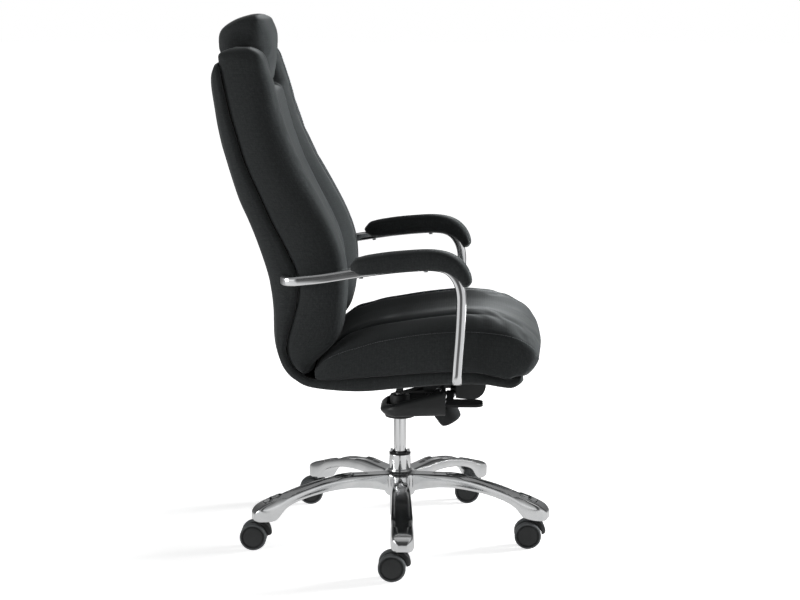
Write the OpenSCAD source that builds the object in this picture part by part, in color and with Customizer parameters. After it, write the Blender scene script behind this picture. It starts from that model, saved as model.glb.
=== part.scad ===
// Executive office chair with a high padded back, bright arms and a five-legged base on twin-wheel casters.
// Frame: z = 0 is the floor, the origin lies on the column axis, +Z is up.
// The chair faces -Y, so the sitter's right hand is on the -X side. "Forward" below is a distance towards -Y.

/* [Base] */
// Radius from the column axis to the end of a leg
base_r = 350; // [300:5:380]
// Height of the highest point of a leg's top
leg_crown_h = 152; // [140:1:180]
// Space between the wheels' tops and the flat underside of a leg's end
foot_gap = 4; // [3:0.5:8]
// Width of a leg at its rounded end
leg_end_w = 51; // [44:1:56]
// Width of a leg where it leaves the hub
leg_root_w = 38; // [32:1:44]
// Depth of the dished hollow in a leg's top
dish_depth = 5; // [2:0.5:8]
// Width of the rim left beside the dished hollow
dish_rim = 6.5; // [5:0.5:9]
// Radius of the hub below the legs' tops
hub_r = 36; // [34:1:42]
// Height of the hub's top edge, where the outer tube leaves it, above the legs' highest point
hub_rise = 6; // [4:1:12]
// Length of the hub, from its top edge to its underside
hub_l = 62; // [56:1:70]
// Angle of the leg nearest the sitter's right hand, turned towards the front
leg_turn = 2.9; // [0:0.1:35]

/* [Casters] */
// Wheel diameter
wheel_d = 60; // [50:1:62]
// Width of one wheel
wheel_w = 18; // [15:0.5:22]
// Wall of the web between the two wheels, beside the stem
web_wall = 1.2; // [1:0.1:2]
// Distance from the stem's axis back to the axle
caster_trail = 22; // [18:0.5:24]
// Stem diameter
stem_d = 11; // [10:0.5:11]
// Length of the stem inside the leg's socket
stem_grip_l = 25; // [18:1:28]
// Radius of the hood around the stem
hood_r = 18.5; // [16:0.5:20]
// Axle diameter
axle_d = 6; // [5:0.5:8]
// Thickness of the tread on the wheel's rim
tread_t = 4; // [3:0.5:5]
// Depth of the wheel face below the tread's edge
face_recess = 1.4; // [1:0.2:2.4]

/* [Column] */
// Outer tube diameter at its top
tube_d = 49; // [48:0.5:52]
// How far the outer tube stands out of the hub
tube_rise = 34; // [28:1:44]
// Height of the outer tube's lower end
tube_foot_h = 45; // [42:1:60]
// Wall of the outer tube
tube_wall = 2; // [1.5:0.5:3]
// Diameter of the gas cylinder
gas_d = 28; // [26:0.5:30]
// Wall of the gas cylinder
gas_wall = 2; // [1.5:0.5:2.5]
// Height of the gas cylinder's lower end at rest
gas_foot_h = 124; // [120:1:128]
// Length of the guide bushing inside the outer tube
bushing_l = 70; // [50:1:75]
// Piston rod diameter
rod_d = 10; // [8:0.5:11]
// Height of the piston
piston_h = 204; // [198:1:212]

/* [Mechanism] */
// Height of the column's collar, the lowest face of the mechanism
collar_h = 279; // [276:1:290]
// Radius of the collar
collar_r = 31; // [28:1:34]
// Height of the pan's flat bottom above the collar's lowest face
pan_lift = 9; // [7:0.5:12]
// Half width of the pan at its rim
pan_half_w = 70; // [70:1:76]
// How far the pan reaches behind the column
pan_rear_l = 46; // [42:1:52]
// How far the pan's wide part reaches in front of the column
pan_front_l = 104; // [100:1:106]
// Slope of the pan's rim, rising towards the front
rim_slope = 15.4; // [13:0.2:17]
// Thickness of the pan's wall
pan_wall = 4; // [3:0.5:5]
// How far the sides of the pan's neck, which reaches the tilt pivot, stand inside the pan's sides
neck_in = 16; // [15:0.5:20]
// Height of the tilt pivot above the pan's flat bottom
pivot_rise = 78; // [74:1:84]
// Diameter of the tilt pivot's axle
pivot_d = 14; // [10:1:18]
// Radius of the seat bracket's ears around the pivot
ear_r = 33; // [28:1:36]
// Space between the levers and the ears' round ends
ear_gap = 1.4; // [1:0.2:4]
// Height of the seat's flat underside above the ears' round ends
ear_top_gap = 2.7; // [2:0.1:3.5]
// Thickness of the seat bracket
bracket_t = 4; // [3:0.5:5]
// Lean of the tension knob's axis from the vertical
knob_lean = 30; // [24:1:34]
// Diameter of the tension knob
knob_d = 58; // [48:1:60]
// Length of the tension knob
knob_l = 35; // [28:1:38]
// Diameter of the tension screw
screw_d = 9; // [8:0.5:12]
// Outer diameter of the tilt spring
spring_d = 34; // [28:1:36]
// Length of the paddles, from back to front
paddle_l = 80; // [60:1:90]
// Width of the paddles, across the chair
paddle_w = 56; // [40:1:60]
// Thickness of the levers
lever_t = 5.6; // [4:0.2:7]
// How far a lever reaches to its side of the chair
lever_reach = 205; // [180:1:215]

/* [Upholstery] */
// Height from the seat's underside to the top of the headrest
body_h = 785; // [740:1:820]
// Depth of the upholstered body, from the rearmost point to the front of the seat
body_d = 745; // [720:1:780]
// Width of the seat shell
body_w = 500; // [480:1:520]
// Thickness of the moulded shell board
board_t = 9; // [7:0.5:10]
// Depth of the hollow between the two thigh bolsters
seat_dip = 14; // [4:1:20]
// Depth of the back's central panel behind its side wings
back_dip = 16; // [6:1:22]

/* [Arms] */
// Space between an arm pad and the side of the shell
arm_gap = 4; // [3:0.5:15]
// Height of the flat-oval arm bar's section
bar_w = 21; // [18:0.5:24]
// Thickness of the flat-oval arm bar
bar_t = 12; // [10:0.5:14]
// Width of an arm pad
pad_w = 62; // [50:1:70]
// Height of an arm pad above the middle of its bar
pad_rise = 35; // [28:1:38]

/* [Fits] */
// Gap around pieces that are pressed or seated together
fit_gap = 0.05; // [0.03:0.01:0.1]
// Gap around shafts that turn or slide
run_gap = 0.06; // [0.03:0.01:0.1]
// Gap between soft pieces and their neighbours
soft_gap = 0.4; // [0.3:0.1:0.8]
// Gap between moving parts that pass each other
pass_gap = 1.2; // [1:0.1:2]

/* [Hidden] */
$fn = 64;
LEGS = 5;
cut = 1;
// Chamfer on small turned edges
edge_l = 1;
// The least step between two points that must stay apart
hair = 0.01;
leg_step = 360 / LEGS;
stem_r = base_r - leg_end_w / 2;
wheel_r = wheel_d / 2;
leg_foot_h = wheel_d + foot_gap;
socket_top_h = leg_foot_h + stem_grip_l;
web_t = stem_d + 2 * web_wall;
hub_top_h = leg_crown_h + hub_rise;
hub_foot_h = hub_top_h - hub_l;
tube_top_h = hub_top_h + tube_rise;
pan_foot_h = collar_h + pan_lift;
pivot_h = pan_foot_h + pivot_rise;
mount_h = pivot_h + ear_r + ear_top_gap;
neck_half_w = pan_half_w - neck_in;
arm_x = body_w / 2 + arm_gap + pad_w / 2;

bright = [0.78, 0.79, 0.8];
steel = [0.6, 0.61, 0.62];
black = [0.08, 0.08, 0.085];
tread_grey = [0.3, 0.31, 0.32];
fabric = [0.13, 0.14, 0.145];

// Places
function forward(x, u, z) = [x, -u, z];
function leg_angle(k) = -(180 - leg_turn + leg_step * (k - 1));

// A side view: the outline's x runs forward and its y runs up, and the solid is centred across the chair
module side(width) {
  rotate([90, 0, -90]) linear_extrude(width, center = true) children();
}

// A bar along the chair's width, at a distance forward and a height
module cross_bar(r, l, u, z, x = 0) {
  translate(forward(x, u, z)) rotate([0, 90, 0]) cylinder(r = r, h = l, center = true);
}

// Catmull-Rom curve through the points, with n steps a span
function curve_at(a, b, c, d, t) =
  (2 * b + (c - a) * t + (2 * a - 5 * b + 4 * c - d) * t * t + (3 * b - a - 3 * c + d) * t * t * t) / 2;
function curve(p, n) = concat(
  [for (i = [0 : len(p) - 2], j = [0 : n - 1])
    curve_at(p[max(i - 1, 0)], p[i], p[i + 1], p[min(i + 2, len(p) - 1)], j / n)],
  [p[len(p) - 1]]);

// Linear reading of a table of [key, value, ...] rows, keys rising
function read_row(rows, key, i = 0) =
  i >= len(rows) - 2 || key <= rows[i + 1][0]
    ? rows[i] + (rows[i + 1] - rows[i]) * (key - rows[i][0]) / (rows[i + 1][0] - rows[i][0])
    : read_row(rows, key, i + 1);

// A closed skin of triangles over a row of rings with equal counts of points
module skin(rings) {
  n = len(rings);
  m = len(rings[0]);
  first = rings[0];
  last = rings[n - 1];
  middle = function (ring) [for (k = [0 : 2]) [for (p = ring) p[k]] * [for (p = ring) 1] / len(ring)];
  points = concat([for (ring = rings, p = ring) p], [middle(first), middle(last)]);
  faces = concat(
    [for (i = [0 : n - 2], j = [0 : m - 1]) [i * m + j, (i + 1) * m + (j + 1) % m, i * m + (j + 1) % m]],
    [for (i = [0 : n - 2], j = [0 : m - 1]) [i * m + j, (i + 1) * m + j, (i + 1) * m + (j + 1) % m]],
    [for (j = [0 : m - 1]) [j, (j + 1) % m, n * m]],
    [for (j = [0 : m - 1]) [(n - 1) * m + (j + 1) % m, (n - 1) * m + j, n * m + 1]]);
  polyhedron(points, faces);
}

// Half a ring mirrored to the other side of the chair; the half runs from the middle's top to its underside
function mirrored(half) = concat(half,
  [for (i = [len(half) - 2 : -1 : 1]) [-half[i][0], half[i][1], half[i][2]]]);

// Star base: leg tops and undersides, as shares of the base's radius and of the crown's height
leg_top_share = [[0, 0.975], [0.17, 0.985], [0.31, 1], [0.5, 0.965], [0.7, 0.85], [0.845, 0.745],
  [0.93, 0.68], [0.975, 0.615], [1.002, 0.545]];
leg_under_share = [[0.82, 0.53], [0.79, 0.62], [0.65, 0.74], [0.5, 0.8], [0.36, 0.82], [0.22, 0.79], [0, 0.7]];
leg_hollow_wall = 4.5;
dish_start_share = 0.27;

function leg_top() = [for (p = curve(leg_top_share, 3)) [p[0] * base_r, p[1] * leg_crown_h]];
function leg_under() = [for (p = curve(leg_under_share, 2)) [p[0] * base_r, p[1] * leg_crown_h]];

// A side view of something that lies along +X
module along(width) {
  rotate([90, 0, 0]) linear_extrude(width, center = true) children();
}

module leg_plan(shrink = 0) {
  translate([stem_r, 0]) circle(r = leg_end_w / 2 - shrink);
  polygon([[0, leg_root_w / 2 - shrink], [0, shrink - leg_root_w / 2],
    [stem_r, shrink - leg_end_w / 2], [stem_r, leg_end_w / 2 - shrink]]);
}

module leg_body() {
  intersection() {
    along(leg_end_w + cut) polygon(concat(leg_top(),
      [[base_r + cut, leg_foot_h + leg_hollow_wall], [base_r, leg_foot_h],
        [leg_under_share[0][0] * base_r + leg_hollow_wall, leg_foot_h]], leg_under()));
    linear_extrude(leg_crown_h + cut) leg_plan();
  }
}

module leg_dish() {
  dish_end = stem_r - dish_rim;
  dish_w = leg_end_w - 2 * dish_rim;
  intersection() {
    along(leg_end_w) polygon(concat(leg_top(),
      [for (i = [len(leg_top()) - 1 : -1 : 0]) leg_top()[i] - [0, dish_depth]]));
    linear_extrude(leg_crown_h + dish_depth + cut) {
      translate([dish_end - dish_w / 2, 0]) circle(r = dish_w / 2);
      polygon([[dish_start_share * base_r, 0], [base_r / 2, -dish_w * 0.4],
        [dish_end - dish_w / 2, -dish_w / 2], [dish_end - dish_w / 2, dish_w / 2], [base_r / 2, dish_w * 0.4]]);
    }
  }
}

// The hub's bore and the outer tube share one slow taper
tube_r = tube_d / 2;
tube_foot_in = 1.2;
function tube_out_r(z) = z >= hub_top_h ? tube_r
  : tube_r - tube_foot_in * (hub_top_h - z) / (hub_top_h - tube_foot_h);
function tube_in_r(z) = z >= hub_top_h ? tube_r - tube_wall
  : tube_r - tube_wall - tube_foot_in * (hub_top_h - z) / (hub_top_h - tube_foot_h - tube_floor_t);
hub_neck_r = tube_r + tube_wall;

module star_base() {
  color(bright) difference() {
    union() {
      for (k = [1 : LEGS]) rotate(leg_angle(k)) difference() {
        leg_body();
        leg_dish();
      }
      rotate_extrude() polygon([[0, hub_foot_h], [hub_r - tube_wall, hub_foot_h],
        [hub_r, hub_foot_h + tube_wall], [hub_r, leg_crown_h * 0.9],
        [hub_neck_r + tube_wall, leg_crown_h * 0.97], [hub_neck_r, hub_top_h], [0, hub_top_h]]);
    }
    rotate_extrude() polygon([[0, hub_foot_h - cut], [tube_out_r(hub_foot_h - cut) + fit_gap, hub_foot_h - cut],
      [tube_out_r(hub_top_h - cut) + fit_gap, hub_top_h - cut], [tube_r + fit_gap, hub_top_h],
      [tube_r + fit_gap, hub_top_h + cut], [0, hub_top_h + cut]]);
    for (k = [1 : LEGS]) rotate(leg_angle(k)) translate([stem_r, 0, 0])
      cylinder(r = stem_d / 2 + run_gap, h = socket_top_h);
  }
}

// Column
tube_floor_t = 3;
rod_r = rod_d / 2;
gas_r = gas_d / 2;
bearing_h = 7;
clip_t = 2;
clip_groove = 1;

module outer_tube() {
  color(bright) rotate_extrude() polygon([
    [rod_r + run_gap, tube_foot_h], [tube_out_r(tube_foot_h), tube_foot_h],
    [tube_out_r(hub_top_h - cut), hub_top_h - cut], [tube_r, hub_top_h], [tube_r, tube_top_h],
    [tube_r - tube_wall, tube_top_h], [tube_r - tube_wall, hub_top_h],
    [tube_in_r(tube_foot_h + tube_floor_t), tube_foot_h + tube_floor_t],
    [rod_r + run_gap, tube_foot_h + tube_floor_t]]);
}

ring_h = 4;
lock_w = 13;
lock_h = 5;
lock_deep = 5;

module guide_bushing() {
  foot = tube_top_h - bushing_l;
  color(black) difference() {
    rotate_extrude() polygon([
      [gas_r + run_gap, foot], [tube_in_r(foot) - fit_gap, foot], [tube_in_r(hub_top_h) - fit_gap, hub_top_h],
      [tube_in_r(tube_top_h) - fit_gap, tube_top_h],
      [tube_r, tube_top_h], [tube_r, tube_top_h + ring_h - edge_l], [tube_r - edge_l, tube_top_h + ring_h],
      [gas_r + run_gap, tube_top_h + ring_h]]);
    for (a = [90, 270]) rotate(a) translate([(gas_r + tube_r) / 2, 0, tube_top_h + ring_h - lock_deep / 2])
      cube([lock_deep + 2 * fit_gap, lock_w / 2 + 2 * fit_gap, lock_deep + 2 * fit_gap], center = true);
  }
}

module bushing_locks() {
  color(bright) for (a = [90, 270]) rotate(a) translate([(gas_r + tube_r) / 2, 0, 0]) {
    translate([0, 0, tube_top_h + ring_h - lock_deep / 2])
      cube([lock_deep, lock_w / 2, lock_deep], center = true);
    intersection() {
      translate([0, 0, tube_top_h + ring_h + fit_gap]) cylinder(r = lock_w / 2, h = lock_h);
      translate([-lock_deep * 0.6, -lock_w / 2, tube_top_h + ring_h + fit_gap])
        cube([lock_deep * 1.2, lock_w, lock_h]);
    }
  }
}

module tube_clip() {
  color(steel) difference() {
    translate([0, 0, tube_foot_h - fit_gap - clip_t]) cylinder(r = rod_r + 4 * clip_groove, h = clip_t);
    translate([0, 0, tube_foot_h - fit_gap - clip_t - cut])
      cylinder(r = rod_r - clip_groove + fit_gap, h = clip_t + 2 * cut);
    translate([0, clip_groove - rod_r, tube_foot_h - clip_t - cut])
      cube([rod_d, rod_d - 2 * clip_groove, clip_t + 2 * cut]);
  }
}

piston_t = 8;
module piston_rod() {
  color(steel) rotate_extrude() polygon([[0, tube_foot_h - clip_t - 2 * clip_groove],
    [rod_r - clip_groove / 2, tube_foot_h - clip_t - 2 * clip_groove],
    [rod_r, tube_foot_h - clip_t - fit_gap - clip_groove / 2],
    [rod_r, tube_foot_h - clip_t - 2 * fit_gap], [rod_r - clip_groove, tube_foot_h - clip_t - 2 * fit_gap],
    [rod_r - clip_groove, tube_foot_h], [rod_r, tube_foot_h],
    [rod_r, piston_h - piston_t], [gas_r - gas_wall - run_gap, piston_h - piston_t],
    [gas_r - gas_wall - run_gap, piston_h], [0, piston_h]]);
}

module thrust_bearing() {
  z0 = tube_foot_h + tube_floor_t + fit_gap;
  washer_t = bearing_h * 0.25;
  color(steel) {
    for (z = [z0, z0 + bearing_h - washer_t]) translate([0, 0, z]) difference() {
      cylinder(r = gas_r - gas_wall, h = washer_t);
      translate([0, 0, -cut]) cylinder(r = rod_r + run_gap, h = washer_t + 2 * cut);
    }
    for (a = [0 : 45 : 315]) rotate(a) translate([(rod_r + gas_r) / 2, 0, z0 + bearing_h / 2])
      sphere(r = bearing_h / 2 - washer_t - fit_gap / 2);
  }
}

// The gas cylinder's top is a slow cone that seats in the mechanism's socket
socket_l = 52;
socket_top = collar_h + socket_l;
gas_top_in = 0.9;
gas_stand = 4;
gas_top = socket_top + gas_stand;
gas_cap_t = 8;
button_d = 8;
button_rise = 9;

function gas_cone_r(z) = z <= collar_h ? gas_r : gas_r - gas_top_in * (z - collar_h) / socket_l;

module gas_cylinder() {
  color(bright) rotate_extrude() polygon([
    [rod_r + run_gap, gas_foot_h], [gas_r - edge_l, gas_foot_h], [gas_r, gas_foot_h + edge_l],
    [gas_r, collar_h], [gas_cone_r(gas_top), gas_top], [button_d / 2 + run_gap, gas_top],
    [button_d / 2 + run_gap, gas_top - gas_cap_t], [gas_r - gas_wall, gas_top - gas_cap_t - gas_wall],
    [gas_r - gas_wall, gas_foot_h + gas_cap_t], [rod_r + run_gap, gas_foot_h + gas_cap_t]]);
}

module valve_button() {
  button_l = gas_cap_t + gas_wall + button_rise;
  color(steel) translate([0, 0, gas_top + button_rise - button_l]) cylinder(d = button_d, h = button_l);
}

// Casters
axle_h = wheel_r;
gap_x = 0.5;
hub_boss_r = 7;
rim_r = wheel_r - tread_t;
disc_t = 3;
hood_top = leg_foot_h - pass_gap;
hood_arc = wheel_r + hood_r * 0.6;

module at_caster(k) {
  rotate(leg_angle(k)) translate([stem_r, 0, 0]) rotate(-leg_angle(k)) children();
}

module caster_stem(k) {
  color(steel) at_caster(k) {
    translate([0, 0, axle_h + axle_d]) cylinder(d = stem_d, h = socket_top_h - axle_h - axle_d - pass_gap);
  }
}

module caster_hood(k) {
  color(black) at_caster(k) difference() {
    union() {
      difference() {
        intersection() {
          translate([0, 0, axle_h]) cylinder(r = hood_r, h = hood_top - axle_h);
          cross_bar(hood_arc, 2 * hood_r, -caster_trail, axle_h);
        }
        cross_bar(wheel_r + pass_gap, 2 * hood_r + cut, -caster_trail, axle_h);
      }
      side(web_t) {
        translate([-caster_trail, axle_h]) circle(r = hub_boss_r + axle_d / 2);
        polygon([[-caster_trail, axle_h - hub_boss_r - axle_d / 2], [0, axle_h],
          [stem_d / 2, axle_h + axle_d], [stem_d / 2 + hood_r / 4, hood_top - hood_r / 4],
          [-stem_d, hood_top - hood_r / 4], [-caster_trail, axle_h + hub_boss_r + axle_d / 2]]);
      }
    }
    translate([0, 0, axle_h + axle_d - fit_gap]) cylinder(r = stem_d / 2 + fit_gap, h = leg_foot_h);
    cross_bar(axle_d / 2 + fit_gap, web_t + cut, -caster_trail, axle_h);
  }
}

axle_l = web_t + 2 * wheel_w - 2 * face_recess - disc_t;
module caster_axle(k) {
  color(steel) at_caster(k) cross_bar(axle_d / 2, axle_l, -caster_trail, axle_h);
}

// One wheel, on the side given by sign: -1 is the sitter's right
module wheel(k, sign) {
  inner = web_t / 2 + gap_x;
  outer = inner + wheel_w;
  bore = axle_d / 2 + run_gap;
  at_caster(k) translate(forward(0, -caster_trail, axle_h)) rotate([0, 90 * sign, 0]) {
    color(black) rotate_extrude() polygon([
      [bore, inner], [hub_boss_r, inner], [hub_boss_r, outer - face_recess - disc_t],
      [rim_r - tread_t / 2, outer - face_recess - disc_t], [rim_r - tread_t / 2, inner + gap_x],
      [rim_r, inner + gap_x], [rim_r, outer - gap_x], [rim_r - tread_t / 2, outer - gap_x],
      [rim_r - tread_t, outer - face_recess], [0, outer - face_recess],
      [0, outer - face_recess - disc_t / 2], [bore, outer - face_recess - disc_t / 2]]);
    color(tread_grey) rotate_extrude() polygon([
      [rim_r + fit_gap, inner + gap_x], [wheel_r - gap_x, inner + gap_x],
      [wheel_r, inner + gap_x + tread_t / 2], [wheel_r, outer - tread_t / 2],
      [wheel_r - gap_x, outer], [rim_r + fit_gap, outer]]);
  }
}

// Mechanism pan
function rim_h(u) = collar_h + collar_r + (u + collar_r) * tan(rim_slope) + pan_wall * 2;
knob_axis = [sin(knob_lean), -cos(knob_lean)];
// Middle of the knob's lower face, as distances from the pan's front and bottom
knob_foot = [pan_front_l + knob_l * 0.35, pan_foot_h - knob_l * 0.45];
function on_knob_axis(s) = knob_foot - s * knob_axis;
knob_top_s = knob_l;
floor_s = knob_top_s + pass_gap;
cup_s = floor_s + pan_wall + 2 * pass_gap;
cup_t = 4;
cup_boss_h = 6;
spring_s = cup_s + cup_t + soft_gap;
spring_l = 34;
seat_s = spring_s + spring_l + soft_gap;

// Puts a solid of revolution on the knob's axis, s from the knob's lower face
module on_knob(s) {
  p = on_knob_axis(s);
  translate(forward(0, p[0], p[1])) rotate([-knob_lean, 0, 0]) children();
}

// Height of the pan's underside below the slanted floor that the knob's screw passes through
function slant_h(u) = on_knob_axis(floor_s)[1] + (u - on_knob_axis(floor_s)[0]) * tan(knob_lean);
slant_l = on_knob_axis(floor_s)[0] - (on_knob_axis(floor_s)[1] - pan_foot_h) / tan(knob_lean);
pan_foot_share = 0.62;
pan_belly_share = 0.93;
pan_corner_share = 0.8;
pan_belly_rise = 13;
pan_belly_h = pan_foot_h + pan_belly_rise;

// Outline of the pan in plan, x forward
module pan_plan(inset) {
  r = pan_rear_l * pan_corner_share;
  y = pan_half_w - r;
  for (side_y = [-y, y]) translate([r - pan_rear_l, side_y]) circle(r = r - inset);
  translate([inset - pan_rear_l, -y]) square([r, 2 * y]);
  translate([r - pan_rear_l, inset - pan_half_w])
    square([pan_front_l + pan_rear_l - r - inset, 2 * (pan_half_w - inset)]);
}

module pan_solid(inset) {
  top = rim_h(pan_front_l) + pan_wall;
  rise = inset / cos(knob_lean);
  intersection() {
    rotate(-90) linear_extrude(2 * pan_foot_h) pan_plan(inset);
    side(2 * pan_half_w) polygon([[inset - pan_rear_l, top], [inset - pan_rear_l, pan_belly_h],
      [inset - pan_rear_l * pan_corner_share + rise / 4, pan_foot_h + inset],
      [slant_l + inset / 4, pan_foot_h + inset],
      [pan_front_l, slant_h(pan_front_l) + rise], [pan_front_l, top]]);
    rotate([90, 0, 0]) linear_extrude(4 * pan_front_l, center = true) polygon([
      for (q = [[-1, top, 1], [-1, pan_belly_h, pan_belly_share], [-1, pan_foot_h + inset, pan_foot_share],
        [1, pan_foot_h + inset, pan_foot_share], [1, pan_belly_h, pan_belly_share], [1, top, 1]])
        [q[0] * (pan_half_w * q[2] - inset), q[1]]]);
  }
}

// Everything above the pan's sloping rim
module above_rim() {
  side(4 * pan_half_w) polygon([[-2 * pan_rear_l, rim_h(-2 * pan_rear_l)],
    [pan_front_l + cut, rim_h(pan_front_l + cut)],
    [pan_front_l + cut, 2 * pivot_h], [-2 * pan_rear_l, 2 * pivot_h]]);
}

lever_pin_in = 8;
lever_pin_drop = 9;
lever_pin_x = pan_half_w - lever_pin_in;
lever_pin_h = rim_h(pan_front_l) - lever_pin_drop;
lever_pin_d = 6;
lever_boss_r = 7;
lever_w = 16;
lever_front = pan_front_l + pan_wall / 2 + pass_gap + lever_w;
lever_rear = lever_front - lever_w;
// The ears start in front of the levers' pins, and the pivot stands in the middle of their round ends
ear_rear_l = lever_front + clip_t + 2 * pass_gap;
pivot_l = ear_rear_l + ear_gap + ear_r;

// Lower line of the neck, from the pan's front to below the pivot; up lifts it
function neck_foot(up = 0) = [[pan_front_l - pan_wall, slant_h(pan_front_l - pan_wall) + up * 1.15],
  [pan_front_l + 2 * pan_wall - up * 0.6, slant_h(pan_front_l + 2 * pan_wall) + up * 0.8],
  [pan_front_l + lever_w + pan_wall - up * 0.8, pivot_h - ear_r * 0.9 + up * 0.8],
  [pivot_l, pivot_h - ear_r * 0.72 + up]];

// Side view of the neck's walls, which carry the tilt pivot
module neck_view() {
  under_boss = lever_pin_h - lever_boss_r - pan_wall / 2;
  translate([pivot_l, pivot_h]) circle(r = ear_r * 0.72);
  polygon(concat(neck_foot(), [[pivot_l + ear_r * 0.5, pivot_h - ear_r * 0.5],
    [pivot_l - ear_r * 0.6, pivot_h + ear_r * 0.4], [pan_front_l + lever_w + pan_wall, under_boss],
    [pan_front_l - pan_wall, under_boss]]));
}

module mechanism_pan() {
  inner_w = 2 * (neck_half_w - pan_wall);
  color(black) difference() {
    union() {
      difference() {
        pan_solid(0);
        pan_solid(pan_wall);
        above_rim();
        // The front wall is open between the neck's walls
        translate(forward(-inner_w / 2, pan_front_l + cut, slant_h(pan_front_l) + pan_wall))
          cube([inner_w, pan_wall + 2 * cut, 2 * pan_half_w]);
      }
      translate([0, 0, collar_h]) cylinder(r = collar_r, h = pan_foot_h - collar_h + pan_wall);
      translate([0, 0, collar_h]) cylinder(r = gas_r + 2 * pan_wall, h = socket_l);
      for (x = [-1, 1]) {
        translate([x * (neck_half_w - pan_wall / 2), 0, 0]) side(pan_wall) neck_view();
        translate(forward(x * lever_pin_x, pan_front_l - pan_wall / 2, lever_pin_h)) rotate([90, 0, 0])
          cylinder(r = lever_boss_r, h = 2 * pan_wall, center = true);
      }
      side(2 * neck_half_w - pan_wall)
        polygon(concat(neck_foot(), [for (i = [3 : -1 : 0]) neck_foot(pan_wall)[i]]));
    }
    rotate_extrude() polygon([[0, collar_h - cut], [gas_r + fit_gap, collar_h - cut],
      [gas_r + fit_gap, collar_h], [gas_cone_r(socket_top) + fit_gap, socket_top],
      [gas_cone_r(socket_top) + fit_gap, socket_top + cut], [0, socket_top + cut]]);
    on_knob(floor_s - 2 * cut) cylinder(r = screw_d / 2 + run_gap, h = 2 * pan_wall + 4 * cut);
    cross_bar(pivot_d / 2 + pan_wall / 2 + fit_gap, 2 * neck_half_w + cut, pivot_l, pivot_h);
    for (x = [-1, 1]) translate(forward(x * lever_pin_x, pan_front_l, lever_pin_h)) rotate([90, 0, 0])
      cylinder(r = lever_pin_d / 2 + fit_gap, h = 4 * pan_wall, center = true);
  }
}

ear_x = neck_half_w + 3 * pass_gap;
ear_out_x = ear_x + bracket_t;

module pivot_axle() {
  color(steel) {
    cross_bar(pivot_d / 2, 2 * ear_out_x + 2 * clip_t, pivot_l, pivot_h);
    for (x = [-1, 1])
      cross_bar(pivot_d * 0.8, clip_t, pivot_l, pivot_h, x * (ear_out_x + fit_gap + clip_t / 2));
  }
}

module pivot_bushes() {
  color(black) for (x = [-1, 1]) difference() {
    union() {
      cross_bar(pivot_d / 2 + pan_wall / 2, pan_wall, pivot_l, pivot_h, x * (neck_half_w - pan_wall / 2));
      cross_bar(pivot_d / 2 + pan_wall, 2 * pass_gap, pivot_l, pivot_h, x * (neck_half_w + pass_gap + fit_gap));
    }
    cross_bar(pivot_d / 2 + run_gap, 4 * neck_half_w, pivot_l, pivot_h);
  }
}

module tilt_spring() {
  color(steel) on_knob(spring_s) difference() {
    cylinder(d = spring_d, h = spring_l);
    translate([0, 0, -cut]) cylinder(d = spring_d - screw_d, h = spring_l + 2 * cut);
  }
}

module spring_cup() {
  color(steel) on_knob(cup_s) difference() {
    union() {
      cylinder(d = spring_d + 2 * pass_gap, h = cup_t);
      cylinder(d = spring_d - screw_d - 2 * pass_gap, h = cup_boss_h);
    }
    translate([0, 0, -cut]) cylinder(r = screw_d / 2 + run_gap, h = cup_boss_h + 2 * cut);
  }
}

module tension_knob() {
  color(black) on_knob(0) {
    rotate_extrude() polygon([[0, 0], [knob_d * 0.34, 0], [knob_d * 0.43, knob_l * 0.1],
      [knob_d * 0.47, knob_l * 0.25], [knob_d / 2, knob_l * 0.7], [knob_d / 2, knob_l * 0.94],
      [knob_d * 0.48, knob_l], [0, knob_l]]);
    cylinder(d = screw_d, h = cup_s + 2 * cup_t + 2 * pass_gap);
  }
}

// A paddle with its blade and hinge boss; reach_in draws the arm inside the pan, x is -1 on the sitter's right
module paddle_lever(x) {
  paddle_in = lever_reach - paddle_w;
  blade_z = lever_pin_h + lever_t / 2;
  r = paddle_w / 3;
  difference() {
    union() {
      translate([0, 0, blade_z]) linear_extrude(lever_t) {
        polygon([for (p = [[lever_pin_x, lever_rear], [lever_pin_x, lever_front],
          [paddle_in, lever_front], [paddle_in, lever_rear]]) [x * p[0], -p[1]]]);
        polygon([for (p = [[paddle_in, lever_rear], [paddle_in, lever_rear + paddle_l - r],
          [lever_reach - r, lever_rear + paddle_l - r], [lever_reach, lever_rear + paddle_l - r],
          [lever_reach, lever_rear]]) [x * p[0], -p[1]]]);
        translate([x * (paddle_in + r), -(lever_rear + paddle_l - r)]) circle(r = r);
        translate([x * (lever_reach - r), -(lever_rear + paddle_l - r)]) circle(r = r);
        translate([x * (paddle_in + lever_reach) / 2, -(lever_rear + paddle_l - r)])
          square([paddle_w - 2 * r, 2 * r], center = true);
      }
      translate(forward(x * lever_pin_x, lever_rear, lever_pin_h)) rotate([90, 0, 0])
        cylinder(r = lever_boss_r, h = lever_w);
    }
    translate(forward(x * lever_pin_x, lever_rear - cut, lever_pin_h)) rotate([90, 0, 0])
      cylinder(r = lever_pin_d / 2 + run_gap, h = lever_w + 2 * cut);
  }
}

arm_in_x = neck_half_w - pan_wall - 2 * pass_gap;
arm_in_w = lever_w / 2;
arm_in_t = 3.5;
press_z = gas_top + button_rise + fit_gap;

module height_lever() {
  color(black) {
    paddle_lever(-1);
    // Arm inside the pan: across to the wall's window, back along the wall, then over the gas spring's button
    translate([0, 0, press_z]) linear_extrude(arm_in_t) polygon([for (p = [
      [lever_pin_x - lever_boss_r / 2, lever_rear], [lever_pin_x - lever_boss_r / 2, lever_rear + arm_in_w],
      [arm_in_x - arm_in_w, lever_rear + arm_in_w], [arm_in_x - arm_in_w, button_d],
      [-button_d, button_d], [-button_d, -button_d], [arm_in_x, -button_d], [arm_in_x, lever_rear]])
      [-p[0], -p[1]]]);
  }
}

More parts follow.
